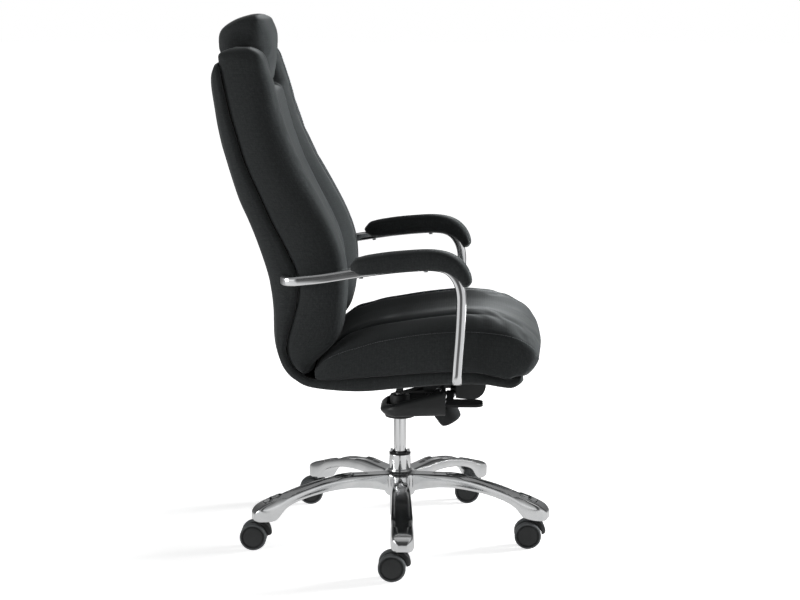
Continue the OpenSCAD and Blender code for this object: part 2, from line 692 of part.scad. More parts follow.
// The lock lever's pad stands beside the seat bracket's leaf and swings towards it
leaf_t = 2;
pad_drop = 16;
leaf_x = arm_in_x - arm_in_w / 4 - 3 * pass_gap - leaf_t / 2;

module lock_lever() {
  color(black) {
    paddle_lever(1);
    translate([0, 0, press_z]) linear_extrude(arm_in_t) polygon([for (p = [
      [lever_pin_x - lever_boss_r / 2, lever_rear], [lever_pin_x - lever_boss_r / 2, lever_rear + arm_in_w],
      [arm_in_x - arm_in_w / 4, lever_rear + arm_in_w], [arm_in_x - arm_in_w / 4, lever_rear - 2 * lever_w],
      [arm_in_x, lever_rear - 2 * lever_w], [arm_in_x, lever_rear]]) [p[0], -p[1]]]);
    translate(forward(arm_in_x - arm_in_w / 8, lever_rear - 1.5 * lever_w, press_z - pad_drop / 2 + cut / 2))
      cube([arm_in_w / 4, lever_w, pad_drop + cut], center = true);
  }
}

module lever_pins() {
  pin_l = 3 * pan_wall + lever_w + 2 * pass_gap;
  head_at = lever_front - pan_front_l + 2 * pan_wall + pass_gap / 2;
  color(steel) for (x = [-1, 1])
    translate(forward(x * lever_pin_x, pan_front_l - 2 * pan_wall, lever_pin_h)) rotate([90, 0, 0]) {
      cylinder(d = lever_pin_d, h = pin_l);
      translate([0, 0, head_at]) cylinder(r = lever_boss_r * 0.8, h = clip_t);
    }
}

// Seat bracket: a plate under the seat, two ears on the pivot, the spring's upper seat and the lock's leaf
plate_rear_l = 18;
plate_front_l = pivot_l + ear_r;
plate_side = 12;
plate_half_w = pan_half_w + plate_side;
plate_top = mount_h - fit_gap;
plate_foot = plate_top - bracket_t;
bolt_d = 8;
bolt_side_edge = 11;
bolt_rear_edge = 14;
bolt_front_edge = 22;
bolt_x = plate_half_w - bolt_side_edge;
bolt_u = [plate_rear_l + bolt_rear_edge, plate_front_l - bolt_front_edge];
nut_flange_t = 2;

module seat_bracket() {
  seat_p = on_knob_axis(seat_s);
  seat_half = spring_d / 2 + pass_gap + bracket_t * 0.8;
  cheek_x = spring_d / 2 + pass_gap + bracket_t / 2;
  color(black) difference() {
    union() {
      translate(forward(-plate_half_w, plate_front_l, plate_foot))
        cube([2 * plate_half_w, plate_front_l - plate_rear_l, bracket_t]);
      for (x = [-1, 1]) translate([x * (ear_x + bracket_t / 2), 0, 0]) side(bracket_t) {
        translate([pivot_l, pivot_h]) circle(r = ear_r);
        polygon([[ear_rear_l, plate_foot + cut], [ear_rear_l, pivot_h - ear_r * 0.9],
          [pivot_l, pivot_h - ear_r], [pivot_l, pivot_h], [pivot_l + ear_r, pivot_h],
          [plate_front_l, plate_foot + cut]]);
      }
      // Spring seat on the knob's axis, carried by two cheeks
      on_knob(seat_s) cylinder(r = seat_half, h = bracket_t);
      for (x = [-1, 1]) translate([x * cheek_x, 0, 0]) side(bracket_t) polygon([
        [seat_p[0] - bracket_t, seat_p[1] - bracket_t], [seat_p[0] - seat_half, seat_p[1] - bracket_t],
        [seat_p[0] - seat_half, plate_foot + cut], [seat_p[0] + seat_half * 1.2, plate_foot + cut],
        [seat_p[0] + seat_half * 0.9, seat_p[1] + seat_half * 0.7], [seat_p[0], seat_p[1]]]);
      translate([leaf_x, 0, 0]) side(leaf_t) polygon([[lever_rear - 3 * lever_w, plate_foot + cut],
        [lever_rear - 2 * lever_w, press_z - 0.7 * pad_drop], [lever_rear - lever_w, press_z - 0.7 * pad_drop],
        [lever_rear, plate_foot + cut]]);
    }
    cross_bar(pivot_d / 2 + fit_gap, 4 * neck_half_w, pivot_l, pivot_h);
    on_knob(seat_s - cut) cylinder(d = spring_d - screw_d - 2 * pass_gap, h = bracket_t + 2 * cut);
    for (x = [-bolt_x, bolt_x], u = bolt_u) translate(forward(x, u, plate_foot - cut))
      cylinder(r = bolt_d / 2 + fit_gap, h = bracket_t + 2 * cut);
  }
}

// Upholstered shell, from the top of the back round to the front of the seat.
// Each row: forward and height of the front face, forward and height of the outer face, half width, extra
// thickness in the middle. Forward distances are shares of body_d, heights above mount_h of body_h, the rest
// of body_w.
shell_share = [
  [-0.501, 0.877, -0.518, 0.871, 0.412, 0.028],
  [-0.491, 0.842, -0.521, 0.836, 0.424, 0.044],
  [-0.466, 0.742, -0.507, 0.747, 0.438, 0.052],
  [-0.447, 0.679, -0.491, 0.673, 0.446, 0.054],
  [-0.427, 0.614, -0.474, 0.614, 0.456, 0.056],
  [-0.38, 0.515, -0.44, 0.51, 0.47, 0.054],
  [-0.348, 0.449, -0.413, 0.449, 0.48, 0.052],
  [-0.317, 0.391, -0.389, 0.391, 0.488, 0.05],
  [-0.286, 0.311, -0.361, 0.311, 0.5, 0.048],
  [-0.281, 0.259, -0.35, 0.259, 0.5, 0.046],
  [-0.295, 0.195, -0.343, 0.197, 0.5, 0.046],
  [-0.317, 0.116, -0.341, 0.116, 0.5, 0.046],
  [-0.313, 0.081, -0.334, 0.077, 0.5, 0.036],
  [-0.298, 0.055, -0.319, 0.045, 0.5, 0.024],
  [-0.268, 0.03, -0.293, 0.019, 0.5, 0.016],
  [-0.226, 0.017, -0.242, -0.004, 0.5, 0.01],
  [-0.114, 0.0215, -0.114, -0.015, 0.5, 0.006],
  [-0.004, 0.0305, -0.004, -0.007, 0.5, 0.002],
  [0.106, 0.039, 0.106, 0.0035, 0.5, 0.006],
  [0.188, 0.041, 0.188, 0.0085, 0.5, 0.0135],
  [0.243, 0.0375, 0.255, 0.008, 0.5, 0.0125],
  [0.298, 0.027, 0.306, 0, 0.497, 0.005],
  [0.336, 0.021, 0.338, -0.002, 0.488, 0],
  [0.365, 0.027, 0.368, 0.016, 0.476, 0]];
board_first = 1;
board_last = len(shell_share) - 4;
// The row at the shell's heel, where its back turns into its seat
heel_row = 15;
last_row = len(shell_share) - 1;
notch_share = 0.191;
side_round = 22;
lip_w = 12;

function shell_front(i) = [shell_share[i][0] * body_d, mount_h + shell_share[i][1] * body_h];
function shell_outer(i) = [shell_share[i][2] * body_d, mount_h + shell_share[i][3] * body_h];
function shell_half(i) = shell_share[i][4] * body_w;
function shell_dir(i) = (shell_outer(i) - shell_front(i)) / norm(shell_outer(i) - shell_front(i));
function shell_thick(i) = norm(shell_outer(i) - shell_front(i));

// One ring of the cover: the front lips and the board's pocket, then round the outside
function shell_ring(i) =
  let (t = shell_thick(i), h = shell_half(i), m = shell_share[i][5] * body_w,
    pocket = i < board_first || i > board_last ? 0 : board_t + soft_gap,
    r = min(side_round, t * 0.6),
    half = [[0, pocket], [h - lip_w, pocket], [h - lip_w + hair, 0], [h - r / 4, 0], [h, r / 4],
      [h, t - r], [h - r * 0.1, t - r * 0.56], [h - r * 0.38, t - r * 0.17],
      [h - r, t + m * 0.12], [h * 0.72, t + m * 0.5], [h * 0.42, t + m * 0.86], [0, t + m]])
  mirrored([for (p = half) let (q = shell_front(i) + p[1] * shell_dir(i)) forward(p[0], q[0], q[1])]);

stud_d = 8;
stud_l = 50;
block_w = 24;
block_x = body_w / 2 - lip_w - soft_gap;
// Where the arms meet the shell, forward and height as shares of body_d and body_h
arm_rear_share = [-0.3215, 0.2995];
arm_front_share = [0.1755, 0.0205];
arm_rear = [arm_rear_share[0] * body_d, mount_h + arm_rear_share[1] * body_h];
arm_front = [arm_front_share[0] * body_d, mount_h + arm_front_share[1] * body_h];

module arm_stud_rods(r) {
  for (x = [-1, 1], p = [arm_rear, arm_front])
    cross_bar(r, stud_l, p[0], p[1], x * (body_w / 2 + lip_w - stud_l / 2));
}

// Wooden blocks, grown from the middle of the shell board's thickness, that take the arms' studs
module arm_block(rear, front, foot, top, grow) {
  for (x = [-1, 1]) translate([x * (block_x - stud_l / 2), 0, 0]) side(stud_l + 2 * grow)
    translate([rear - grow, foot - grow]) square([front - rear + 2 * grow, top - foot + 2 * grow]);
}
module arm_blocks(grow = 0) {
  arm_block(arm_rear[0] - block_w / 2, board_front_at(arm_rear_share[1]) - board_t / 2,
    arm_rear[1] - block_w / 2, arm_rear[1] + block_w / 2, grow);
  arm_block(arm_front[0] - block_w / 2, arm_front[0] + block_w / 2,
    arm_front[1] - block_w * 0.28, seat_board_top(arm_front[0]) - board_t / 2, grow);
}

// Forward distance of the board's front at a height share, and height of its top at a forward distance
function board_front_at(h) = read_row(shell_rows_up, h)[1] * body_d;
function seat_board_top(u) = read_row([for (i = [heel_row + 1 : board_last]) shell_front(i)], u)[1];

module shell_cover() {
  color(fabric) difference() {
    skin([for (i = [len(shell_share) - 1 : -1 : 0]) shell_ring(i)]);
    translate(forward(-plate_half_w - pass_gap, plate_front_l + pass_gap, mount_h - 2 * bracket_t))
      cube([2 * plate_half_w + 2 * pass_gap, plate_front_l - plate_rear_l + 2 * pass_gap, 2 * bracket_t]);
    for (x = [-bolt_x, bolt_x], u = bolt_u) translate(forward(x, u, mount_h - cut))
      cylinder(r = bolt_d / 2 + soft_gap, h = body_h / 10);
    arm_stud_rods(stud_d / 2 + soft_gap);
    arm_blocks(soft_gap);
    tongue(soft_gap);
  }
}

tongue_half_w = 60;
tongue_rise = 60;

module shell_board() {
  back = [for (i = [board_last : -1 : board_first]) shell_front(i) + board_t * shell_dir(i)];
  color([0.72, 0.58, 0.42]) difference() {
    union() {
      intersection() {
        side(body_w) polygon(concat([for (i = [board_first : board_last]) shell_front(i)], back));
        rotate([90, 0, 0]) linear_extrude(2 * body_d, center = true) polygon(concat(
          [for (i = [board_first : heel_row]) [lip_w + soft_gap - shell_half(i), shell_front(i)[1]]],
          [for (x = [-1, 1]) [x * block_x, mount_h - board_t]],
          [for (i = [heel_row : -1 : board_first]) [shell_half(i) - lip_w - soft_gap, shell_front(i)[1]]]));
      }
      tongue();
      arm_blocks();
    }
    for (x = [-bolt_x, bolt_x], u = bolt_u) {
      translate(forward(x, u, mount_h - cut)) cylinder(r = bolt_d / 2 + fit_gap, h = body_h / 10);
      translate(forward(x, u, nut_foot(u))) cylinder(r = bolt_d + fit_gap, h = body_h / 10);
    }
    arm_stud_rods(stud_d / 2 + fit_gap);
  }
}

// The board's tongue, which carries the headrest; grow widens it into the headrest's slot
module tongue(grow = 0) {
  p = shell_front(board_first);
  q = shell_front(board_first + 1);
  lean = (p - q) / norm(p - q);
  back = shell_dir(board_first);
  base = p - board_t * lean;
  tip = base + (tongue_rise + board_t + grow) * lean;
  side(2 * tongue_half_w + 2 * grow) polygon([base - grow * back, tip - grow * back,
    tip + (board_t + grow) * back, base + (board_t + grow) * back]);
}

module bracket_bolts() {
  color(steel) for (x = [-bolt_x, bolt_x], u = bolt_u)
    translate(forward(x, u, plate_foot - clip_t * 2 - fit_gap)) {
      cylinder(r = bolt_d * 0.8, h = 2 * clip_t);
      cylinder(d = bolt_d, h = nut_foot(u) + nut_flange_t - plate_foot + 2 * clip_t);
    }
}

// Height of the flat that a nut sits on, at a forward distance
function nut_foot(u) = seat_board_top(u) - bolt_d * 0.1 - nut_flange_t - fit_gap;

module bracket_nuts() {
  color(steel) for (x = [-bolt_x, bolt_x], u = bolt_u) translate(forward(x, u, nut_foot(u)))
    difference() {
      cylinder(r = bolt_d, h = nut_flange_t);
      translate([0, 0, -cut]) cylinder(r = bolt_d / 2 + fit_gap, h = nut_flange_t + 2 * cut);
    }
}

// Back cushion. Rows: height share, forward share of its rear face, of its side seam and of its front
back_share = [
  [0.026, -0.2615, -0.2555, -0.249],
  [0.038, -0.278, -0.256, -0.24],
  [0.058, -0.2975, -0.25, -0.236],
  [0.085, -0.3105, -0.22, -0.208],
  [0.12, -0.315, -0.185, -0.172],
  [0.165, -0.304, -0.166, -0.153],
  [0.22, -0.288, -0.155, -0.144],
  [0.285, -0.281, -0.151, -0.14],
  [0.35, -0.3, -0.157, -0.148],
  [0.42, -0.332, -0.183, -0.1735],
  [0.5, -0.3725, -0.227, -0.2175],
  [0.58, -0.411, -0.275, -0.2655],
  [0.66, -0.441, -0.313, -0.3045],
  [0.74, -0.465, -0.342, -0.334],
  [0.82, -0.485, -0.363, -0.3555],
  [0.865, -0.4975, -0.378, -0.371],
  [0.89, -0.504, -0.386, -0.38],
  [0.908, -0.49, -0.405, -0.4],
  [0.916, -0.46, -0.43, -0.425]];
// The cushion's stations: the shell's own, and its top
back_heights = concat([for (i = [heel_row - 1 : -1 : 0]) shell_share[i][1]],
  [for (i = [len(back_share) - 3 : len(back_share) - 1]) back_share[i][0]]);
shell_rows_up = [for (i = [heel_row - 1 : -1 : 0]) [shell_share[i][1], shell_share[i][0]]];
function back_row(h) = h > shell_share[0][1] ? read_row(back_share, h)
  : let (r = read_row(back_share, h)) [h, read_row(shell_rows_up, h)[1], r[2], r[3]];
neck_start_share = 0.815;
// Half width up to the widest height, that height, and how much the half width loses for each share above it
back_half_share = 0.498;
widest_share = 0.311;
narrowing_share = 0.155;
// Heights of the cushion's rounded ends, and the height from which its dip is full
back_ends_share = [0.02, 0.925];
dip_full_share = 0.2;
back_edge = 1;

function back_ring(row) =
  let (z = mount_h + row[0] * body_h,
    rear = row[1] * body_d + soft_gap,
    seam = max(row[2] * body_d, rear + back_edge),
    front = max(row[3] * body_d, rear + 2 * back_edge),
    d = front - rear,
    h = (back_half_share - max(0, row[0] - widest_share) * narrowing_share) * body_w,
    end = min(1, 12 * min(row[0] - back_ends_share[0], back_ends_share[1] - row[0])),
    hh = h - side_round * (1 - sqrt(max(0, 1 - (1 - end) * (1 - end)))),
    dip = min(back_dip, d * 0.2) * min(1, row[0] / dip_full_share),
    half = [[0, front - dip], [hh * 0.26, front - dip * 0.95], [hh * 0.44, front - dip * 0.72],
      [hh * 0.54, front - dip * 0.32], [hh * 0.63, front - dip * 0.05], [hh * 0.76, front],
      [hh * 0.86, front - (front - seam) * 0.3], [hh * 0.955, seam],
      [hh, seam - d * 0.16], [hh * 1.005, seam - (seam - rear) * 0.5], [hh * 0.998, rear + d * 0.12],
      [hh * 0.975, rear], [hh * 0.56, rear], [0, rear]])
  mirrored([for (p = half) forward(p[0], p[1], z)]);

notch_half_w = notch_share * body_w + soft_gap;

module back_cushion() {
  color(fabric) difference() {
    skin([for (h = back_heights) back_ring(back_row(h))]);
    translate([-notch_half_w, -body_d, mount_h + neck_start_share * body_h])
      cube([2 * notch_half_w, 2 * body_d, body_h]);
  }
}

// Headrest. Rows: height share, rear and front as shares of body_d, half width as a share of body_w
head_share = [
  [0.818, 0, -0.398, 0.165],
  [0.824, 0, -0.385, 0.18],
  [0.842, 0, -0.375, 0.186],
  [0.877, 0, -0.366, 0.189],
  [0.8795, -0.524, -0.3655, 0.1895],
  [0.905, -0.536, -0.361, 0.19],
  [0.918, -0.5355, -0.36, 0.191],
  [0.925, -0.535, -0.3598, 0.226],
  [0.94, -0.533, -0.36, 0.238],
  [0.958, -0.526, -0.364, 0.24],
  [0.978, -0.5, -0.376, 0.234],
  [0.992, -0.466, -0.394, 0.215],
  [0.999, -0.44, -0.412, 0.18]];
// The rear of its lower rows lies on the shell's front
function head_rear(row) = row[1] < 0 ? row[1] * body_d : read_row(shell_rows_up, row[0])[1] * body_d + soft_gap;

function head_ring(row) =
  let (z = mount_h + row[0] * body_h, mid = (head_rear(row) + row[2] * body_d) / 2,
    d = (row[2] * body_d - head_rear(row)) / 2, h = row[3] * body_w)
  [for (a = [0 : 15 : 345]) let (c = cos(a), s = sin(a))
    forward(h * sign(c) * pow(abs(c), 0.55), mid - d * sign(s) * pow(abs(s), 0.55), z)];

module headrest() {
  color(fabric) difference() {
    skin([for (row = head_share) head_ring(row)]);
    tongue(soft_gap);
  }
}

// Seat cushion. Rows: forward share, heights of its side seam and bolster crest, half width share
seat_share = [
  [-0.236, 0.045, 0.05, 0.488],
  [-0.226, 0.052, 0.057, 0.494],
  [-0.212, 0.068, 0.0735, 0.499],
  [-0.19, 0.082, 0.096, 0.503],
  [-0.165, 0.093, 0.121, 0.504],
  [-0.14, 0.102, 0.1375, 0.505],
  [-0.114, 0.109, 0.143, 0.507],
  [-0.06, 0.125, 0.156, 0.508],
  [-0.004, 0.136, 0.1645, 0.509],
  [0.05, 0.145, 0.173, 0.51],
  [0.106, 0.1515, 0.1805, 0.51],
  [0.15, 0.1545, 0.1855, 0.51],
  [0.188, 0.1565, 0.189, 0.51],
  [0.243, 0.155, 0.189, 0.51],
  [0.298, 0.149, 0.182, 0.507],
  [0.336, 0.141, 0.169, 0.502],
  [0.365, 0.128, 0.153, 0.495],
  [0.385, 0.115, 0.139, 0.486],
  [0.4, 0.101, 0.124, 0.475],
  [0.4135, 0.083, 0.1, 0.452]];
seat_bottom_share = [[0.365, 0.027], [0.385, 0.029], [0.4, 0.033], [0.4135, 0.046]];
shell_rows_forward = [for (i = [heel_row - 1 : last_row]) [shell_share[i][0], shell_share[i][1]]];
// Where the seat runs out over the shell's front edge, and where its front starts to bow
shell_end_share = shell_share[last_row][0];
bow_start_share = 0.3;

function seat_ring(row) =
  let (u = row[0] * body_d,
    foot_share = read_row(row[0] > shell_end_share ? seat_bottom_share : shell_rows_forward, row[0])[1],
    foot = mount_h + foot_share * body_h + soft_gap, seam = mount_h + row[1] * body_h,
    crest = mount_h + row[2] * body_h, h = row[3] * body_w, puff = crest - seam, wall = seam - foot,
    dip = min(seat_dip, puff * 0.5), bow = max(0, row[0] - bow_start_share) * 0.16 * body_d,
    low = row[0] > shell_end_share ? bow : 0,
    half = [[0, crest - dip, bow], [h * 0.2, crest - dip * 0.86, bow * 0.96],
      [h * 0.38, crest - dip * 0.4, bow * 0.86], [h * 0.5, crest - dip * 0.06, bow * 0.74],
      [h * 0.6, crest, bow * 0.6], [h * 0.74, crest - puff * 0.2, bow * 0.4],
      [h * 0.87, crest - puff * 0.55, bow * 0.2], [h * 0.96, seam, bow * 0.06],
      [h * 0.995, seam - wall * 0.14, 0], [h, seam - wall * 0.5, 0],
      [h * 0.993, foot + wall * 0.15, 0], [h * 0.975, foot, 0],
      [h * 0.5, foot, low * 0.5], [0, foot, low * 0.6]])
  mirrored([for (p = half) forward(p[0], u + p[2], p[1])]);

module seat_cushion() {
  color(fabric) skin([for (i = [len(seat_share) - 1 : -1 : 0]) seat_ring(seat_share[i])]);
}

// Arms. Middle line of the bar between its two inward bends, as shares of body_d and body_h
arm_share = [[-0.285, 0.3], [-0.21, 0.308], [-0.128, 0.3205], [-0.04, 0.333], [0.04, 0.341], [0.105, 0.3435],
  [0.147, 0.334], [0.173, 0.308], [0.1855, 0.272], [0.1865, 0.225], [0.183, 0.15], [0.178, 0.085],
  [0.1755, 0.045]];
bend_steps = 5;
bar_sides = 12;

function arm_line() = [for (p = curve(arm_share, 3)) [p[0] * body_d, mount_h + p[1] * body_h]];
function unit(v) = v / norm(v);
function turn(line, i) = unit(line[min(i + 1, len(line) - 1)] - line[max(i - 1, 0)]);

// The bar's section, wide across w and thin across n, centred on p
function bar_ring(p, w, n) = [for (j = [0 : bar_sides - 1])
  let (a = -360 * j / bar_sides, flat = sign(cos(a)) * min(1, abs(cos(a)) * 4))
  p + w * ((bar_w - bar_t) / 2 * flat + bar_t / 2 * cos(a)) + n * bar_t / 2 * sin(a)];

// All rings of one bar, x is -1 on the sitter's right
function arm_rings(x) =
  let (line = arm_line(), n = len(line), ax = x * arm_x, end_x = x * (body_w / 2 + soft_gap),
    t0 = turn(line, 0), t1 = turn(line, n - 1),
    r0 = norm(line[0] - arm_rear), r1 = norm(line[n - 1] - arm_front),
    w0 = forward(0, -t0[1], t0[0]), w1 = forward(0, -t1[1], t1[0]),
    in0 = -x * forward(0, t0[0], t0[1]), in1 = x * forward(0, t1[0], t1[1]))
  concat(
    [bar_ring(forward(end_x, arm_rear[0], arm_rear[1]), w0, in0)],
    [for (i = [0 : bend_steps - 1]) let (a = 90 - 90 * i / bend_steps, p = line[0] - t0 * r0 * sin(a))
      bar_ring(forward(ax - x * r0 * (1 - cos(a)), p[0], p[1]), w0, [cos(a), 0, 0] + sin(a) * in0)],
    [for (i = [0 : n - 1]) let (t = turn(line, i))
      bar_ring(forward(ax, line[i][0], line[i][1]), forward(0, -t[1], t[0]), [1, 0, 0])],
    [for (i = [1 : bend_steps]) let (a = 90 * i / bend_steps, p = line[n - 1] + t1 * r1 * sin(a))
      bar_ring(forward(ax - x * r1 * (1 - cos(a)), p[0], p[1]), w1, [cos(a), 0, 0] + sin(a) * in1)],
    [bar_ring(forward(end_x, arm_front[0], arm_front[1]), w1, in1)]);

pad_screw_d = 5;
// Places of an arm pad's two screws and of its ends, as shares of the steps along the bar's line
pad_screw_shares = [0.1944, 0.3889];
pad_ends_share = [0.175, 0.6333];
line_steps = len(arm_line()) - 1;

module pad_screw_holes(x, r) {
  for (f = pad_screw_shares) let (line = arm_line(), i = round(f * line_steps), t = turn(line, i))
    translate(forward(x * arm_x, line[i][0], line[i][1])) rotate([-atan2(t[1], t[0]), 0, 0])
      translate([0, 0, -bar_w]) cylinder(r = r, h = bar_w + pad_rise * 0.7);
}

module arm_bar(x) {
  color(bright) difference() {
    skin(arm_rings(x));
    pad_screw_holes(x, pad_screw_d / 2 + fit_gap);
    arm_stud_rods(stud_d / 2 + fit_gap);
  }
}

// Studs from the shell board's blocks through the cover into the ends of the arm bars
module arm_studs() {
  color(steel) arm_stud_rods(stud_d / 2);
}

// Arm pads. Rows: place along the bar's line, underside and top above its middle as shares of pad_rise, and
// half width as a share of pad_w
pad_share = [[0, 0.3, 0.62, 0.28], [0.025, -0.02, 0.85, 0.4], [0.07, -0.14, 0.95, 0.47],
  [0.15, -0.2, 0.99, 0.5], [0.35, -0.22, 1, 0.5], [0.55, -0.22, 1, 0.5], [0.7, -0.17, 1, 0.5],
  [0.8, -0.08, 0.98, 0.5], [0.88, 0.04, 0.94, 0.49], [0.94, 0.14, 0.88, 0.47], [0.98, 0.2, 0.8, 0.42],
  [1, 0.24, 0.66, 0.33]];
pad_steps = 22;

function line_at(line, s) = let (i = min(floor(s), len(line) - 2)) line[i] + (line[i + 1] - line[i]) * (s - i);

function pad_ring(x, f) =
  let (line = arm_line(), s = line_steps * (pad_ends_share[0] + (pad_ends_share[1] - pad_ends_share[0]) * f),
    p = line_at(line, s),
    t = unit(line_at(line, s + 0.5) - line_at(line, s - 0.5)), n = [-t[1], t[0]],
    row = read_row(pad_share, f), a = row[1] * pad_rise, b = row[2] * pad_rise, w = row[3] * pad_w,
    g = bar_t / 2 + soft_gap, e = bar_w / 2 + soft_gap, k = min(w * 0.4, (b - a) * 0.4),
    lo = min(a, e - soft_gap),
    half = [[0, b], [w * 0.4, b - k * 0.08], [w - k * 0.6, b - k * 0.32], [w - k * 0.18, b - k * 0.75],
      [w, b - k * 1.4], [w, lo + k * 0.7], [w - k * 0.3, lo + k * 0.15], [w - k * 0.7, lo], [g, lo],
      [g - hair, e], [0, e]])
  [for (q = mirrored([for (h = half) [h[0], h[1], 0]])) let (r = p + n * q[1])
    forward(x * arm_x + q[0], r[0], r[1])];

module arm_pad(x) {
  color(fabric) difference() {
    skin([for (i = [pad_steps : -1 : 0]) pad_ring(x, pad_share_step(i / pad_steps))]);
    pad_screw_holes(x, pad_screw_d / 2 + soft_gap);
  }
}

// Steps close together at the pad's ends
function pad_share_step(f) = (1 - cos(180 * f)) / 2;

module pad_screws() {
  color(steel) for (x = [-1, 1], f = pad_screw_shares)
    let (line = arm_line(), i = round(f * line_steps), t = turn(line, i))
    translate(forward(x * arm_x, line[i][0], line[i][1])) rotate([-atan2(t[1], t[0]), 0, 0]) {
      translate([0, 0, -bar_w / 2]) cylinder(d = pad_screw_d, h = bar_w / 2 + pad_rise * 0.6);
      translate([0, 0, -bar_w / 2 - clip_t - soft_gap]) cylinder(d = bar_t * 0.75, h = clip_t);
    }
}

star_base();
outer_tube();
guide_bushing();
bushing_locks();
tube_clip();
piston_rod();
thrust_bearing();
gas_cylinder();
valve_button();
for (k = [1 : LEGS]) {
  caster_stem(k);
  caster_hood(k);
  caster_axle(k);
  wheel(k, -1);
  wheel(k, 1);
}
mechanism_pan();
pivot_axle();
pivot_bushes();
tilt_spring();
spring_cup();
tension_knob();
height_lever();
lock_lever();
lever_pins();
seat_bracket();
bracket_bolts();
bracket_nuts();
shell_board();
shell_cover();
back_cushion();
headrest();
seat_cushion();
arm_bar(-1);  // arm_bar_right
arm_bar(1);  // arm_bar_left
arm_pad(-1);  // arm_pad_right
arm_pad(1);  // arm_pad_left
arm_studs();
pad_screws();
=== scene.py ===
"""Looks of the executive office chair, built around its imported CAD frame."""
import math

import bmesh
import bpy
import numpy as np
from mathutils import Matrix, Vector
from mathutils.bvhtree import BVHTree


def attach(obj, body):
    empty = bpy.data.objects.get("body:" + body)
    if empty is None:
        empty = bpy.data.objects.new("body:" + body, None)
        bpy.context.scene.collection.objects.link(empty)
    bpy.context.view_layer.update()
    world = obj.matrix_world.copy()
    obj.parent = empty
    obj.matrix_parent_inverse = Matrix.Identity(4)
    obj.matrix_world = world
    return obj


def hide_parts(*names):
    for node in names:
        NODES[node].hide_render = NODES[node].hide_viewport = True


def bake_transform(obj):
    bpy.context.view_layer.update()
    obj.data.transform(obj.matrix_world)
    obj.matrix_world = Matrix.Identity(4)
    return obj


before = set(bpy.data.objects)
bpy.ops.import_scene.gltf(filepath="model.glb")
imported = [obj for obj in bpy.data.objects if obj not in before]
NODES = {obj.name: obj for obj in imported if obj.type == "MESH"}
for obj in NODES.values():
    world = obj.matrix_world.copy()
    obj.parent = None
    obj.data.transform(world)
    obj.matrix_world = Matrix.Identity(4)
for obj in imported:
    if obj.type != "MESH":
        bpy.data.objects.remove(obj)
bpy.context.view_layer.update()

MM = 0.001
SEAT_FOOT = 401.7   # height of the seat's underside, mm
# The upholstered body's height, depth and width in the CAD source, mm. Tables of soft forms hold shares of them
BODY_H, BODY_D, BODY_W = 785.0, 745.0, 500.0


# Hand tools

def clear_selection():
    bpy.ops.object.select_all(action="DESELECT")


def hold(piece):
    clear_selection()
    piece.select_set(True)
    bpy.context.view_layer.objects.active = piece
    return piece


def named(name):
    piece = bpy.context.active_object
    piece.name = name
    piece.data.name = name
    return piece


def edit(piece):
    hold(piece)
    bpy.ops.object.mode_set(mode="EDIT")


def leave():
    bpy.ops.object.mode_set(mode="OBJECT")


def pick(kind, test, add=False):
    """Selects the edited piece's faces, edges or points by a test that reads a middle in mm and a normal"""
    bpy.ops.mesh.select_mode(type=kind)
    mesh = bpy.context.edit_object.data
    work = bmesh.from_edit_mesh(mesh)
    if not add:
        bpy.ops.mesh.select_all(action="DESELECT")
    things = {"FACE": work.faces, "EDGE": work.edges, "VERT": work.verts}[kind]
    for thing in things:
        if kind == "FACE":
            middle, normal = thing.calc_center_median(), thing.normal
        elif kind == "EDGE":
            middle = (thing.verts[0].co + thing.verts[1].co) / 2
            normal = (thing.verts[1].co - thing.verts[0].co).normalized()
        else:
            middle, normal = thing.co, thing.normal
        if test(middle / MM, normal):
            thing.select_set(True)
    work.select_flush_mode()
    bmesh.update_edit_mesh(mesh)


def outward():
    bpy.ops.mesh.select_all(action="SELECT")
    bpy.ops.mesh.normals_make_consistent(inside=False)


def finish_with(piece, kind, **settings):
    """Adds a modifier and applies it"""
    hold(piece)
    modifier = piece.modifiers.new(kind.title(), kind)
    for key, value in settings.items():
        setattr(modifier, key, value)
    bpy.ops.object.modifier_apply(modifier=modifier.name)
    return piece


def soften(piece, width, segments=3, angle=32):
    """Rounds the sharp edges, width in mm"""
    finish_with(piece, "BEVEL", width=width * MM, segments=segments, limit_method="ANGLE",
                angle_limit=math.radians(angle), harden_normals=False)
    return smooth(piece)


def smooth(piece, angle=40):
    hold(piece)
    bpy.ops.object.shade_smooth_by_angle(angle=math.radians(angle))
    return piece


def settle(piece):
    """Puts the piece's place into its mesh"""
    hold(piece)
    bpy.ops.object.transform_apply(location=True, rotation=True, scale=True)
    return piece


def copy_of(piece, name):
    other = piece.copy()
    other.data = piece.data.copy()
    other.name = other.data.name = name
    bpy.context.scene.collection.objects.link(other)
    return other


def joined(pieces, name):
    clear_selection()
    for piece in pieces:
        piece.select_set(True)
    bpy.context.view_layer.objects.active = pieces[0]
    bpy.ops.object.join()
    return named(name)


def moved(piece, by=(0, 0, 0), turn=(0, 0, 0)):
    """Turns the piece about the origin by degrees, then moves it by mm, in its mesh"""
    piece.rotation_euler = [math.radians(a) for a in turn]
    piece.location = [v * MM for v in by]
    return settle(piece)


def mirrored(piece, name):
    """A copy on the chair's other side"""
    other = copy_of(piece, name)
    other.scale = (-1, 1, 1)
    settle(other)
    edit(other)
    outward()
    leave()
    return other


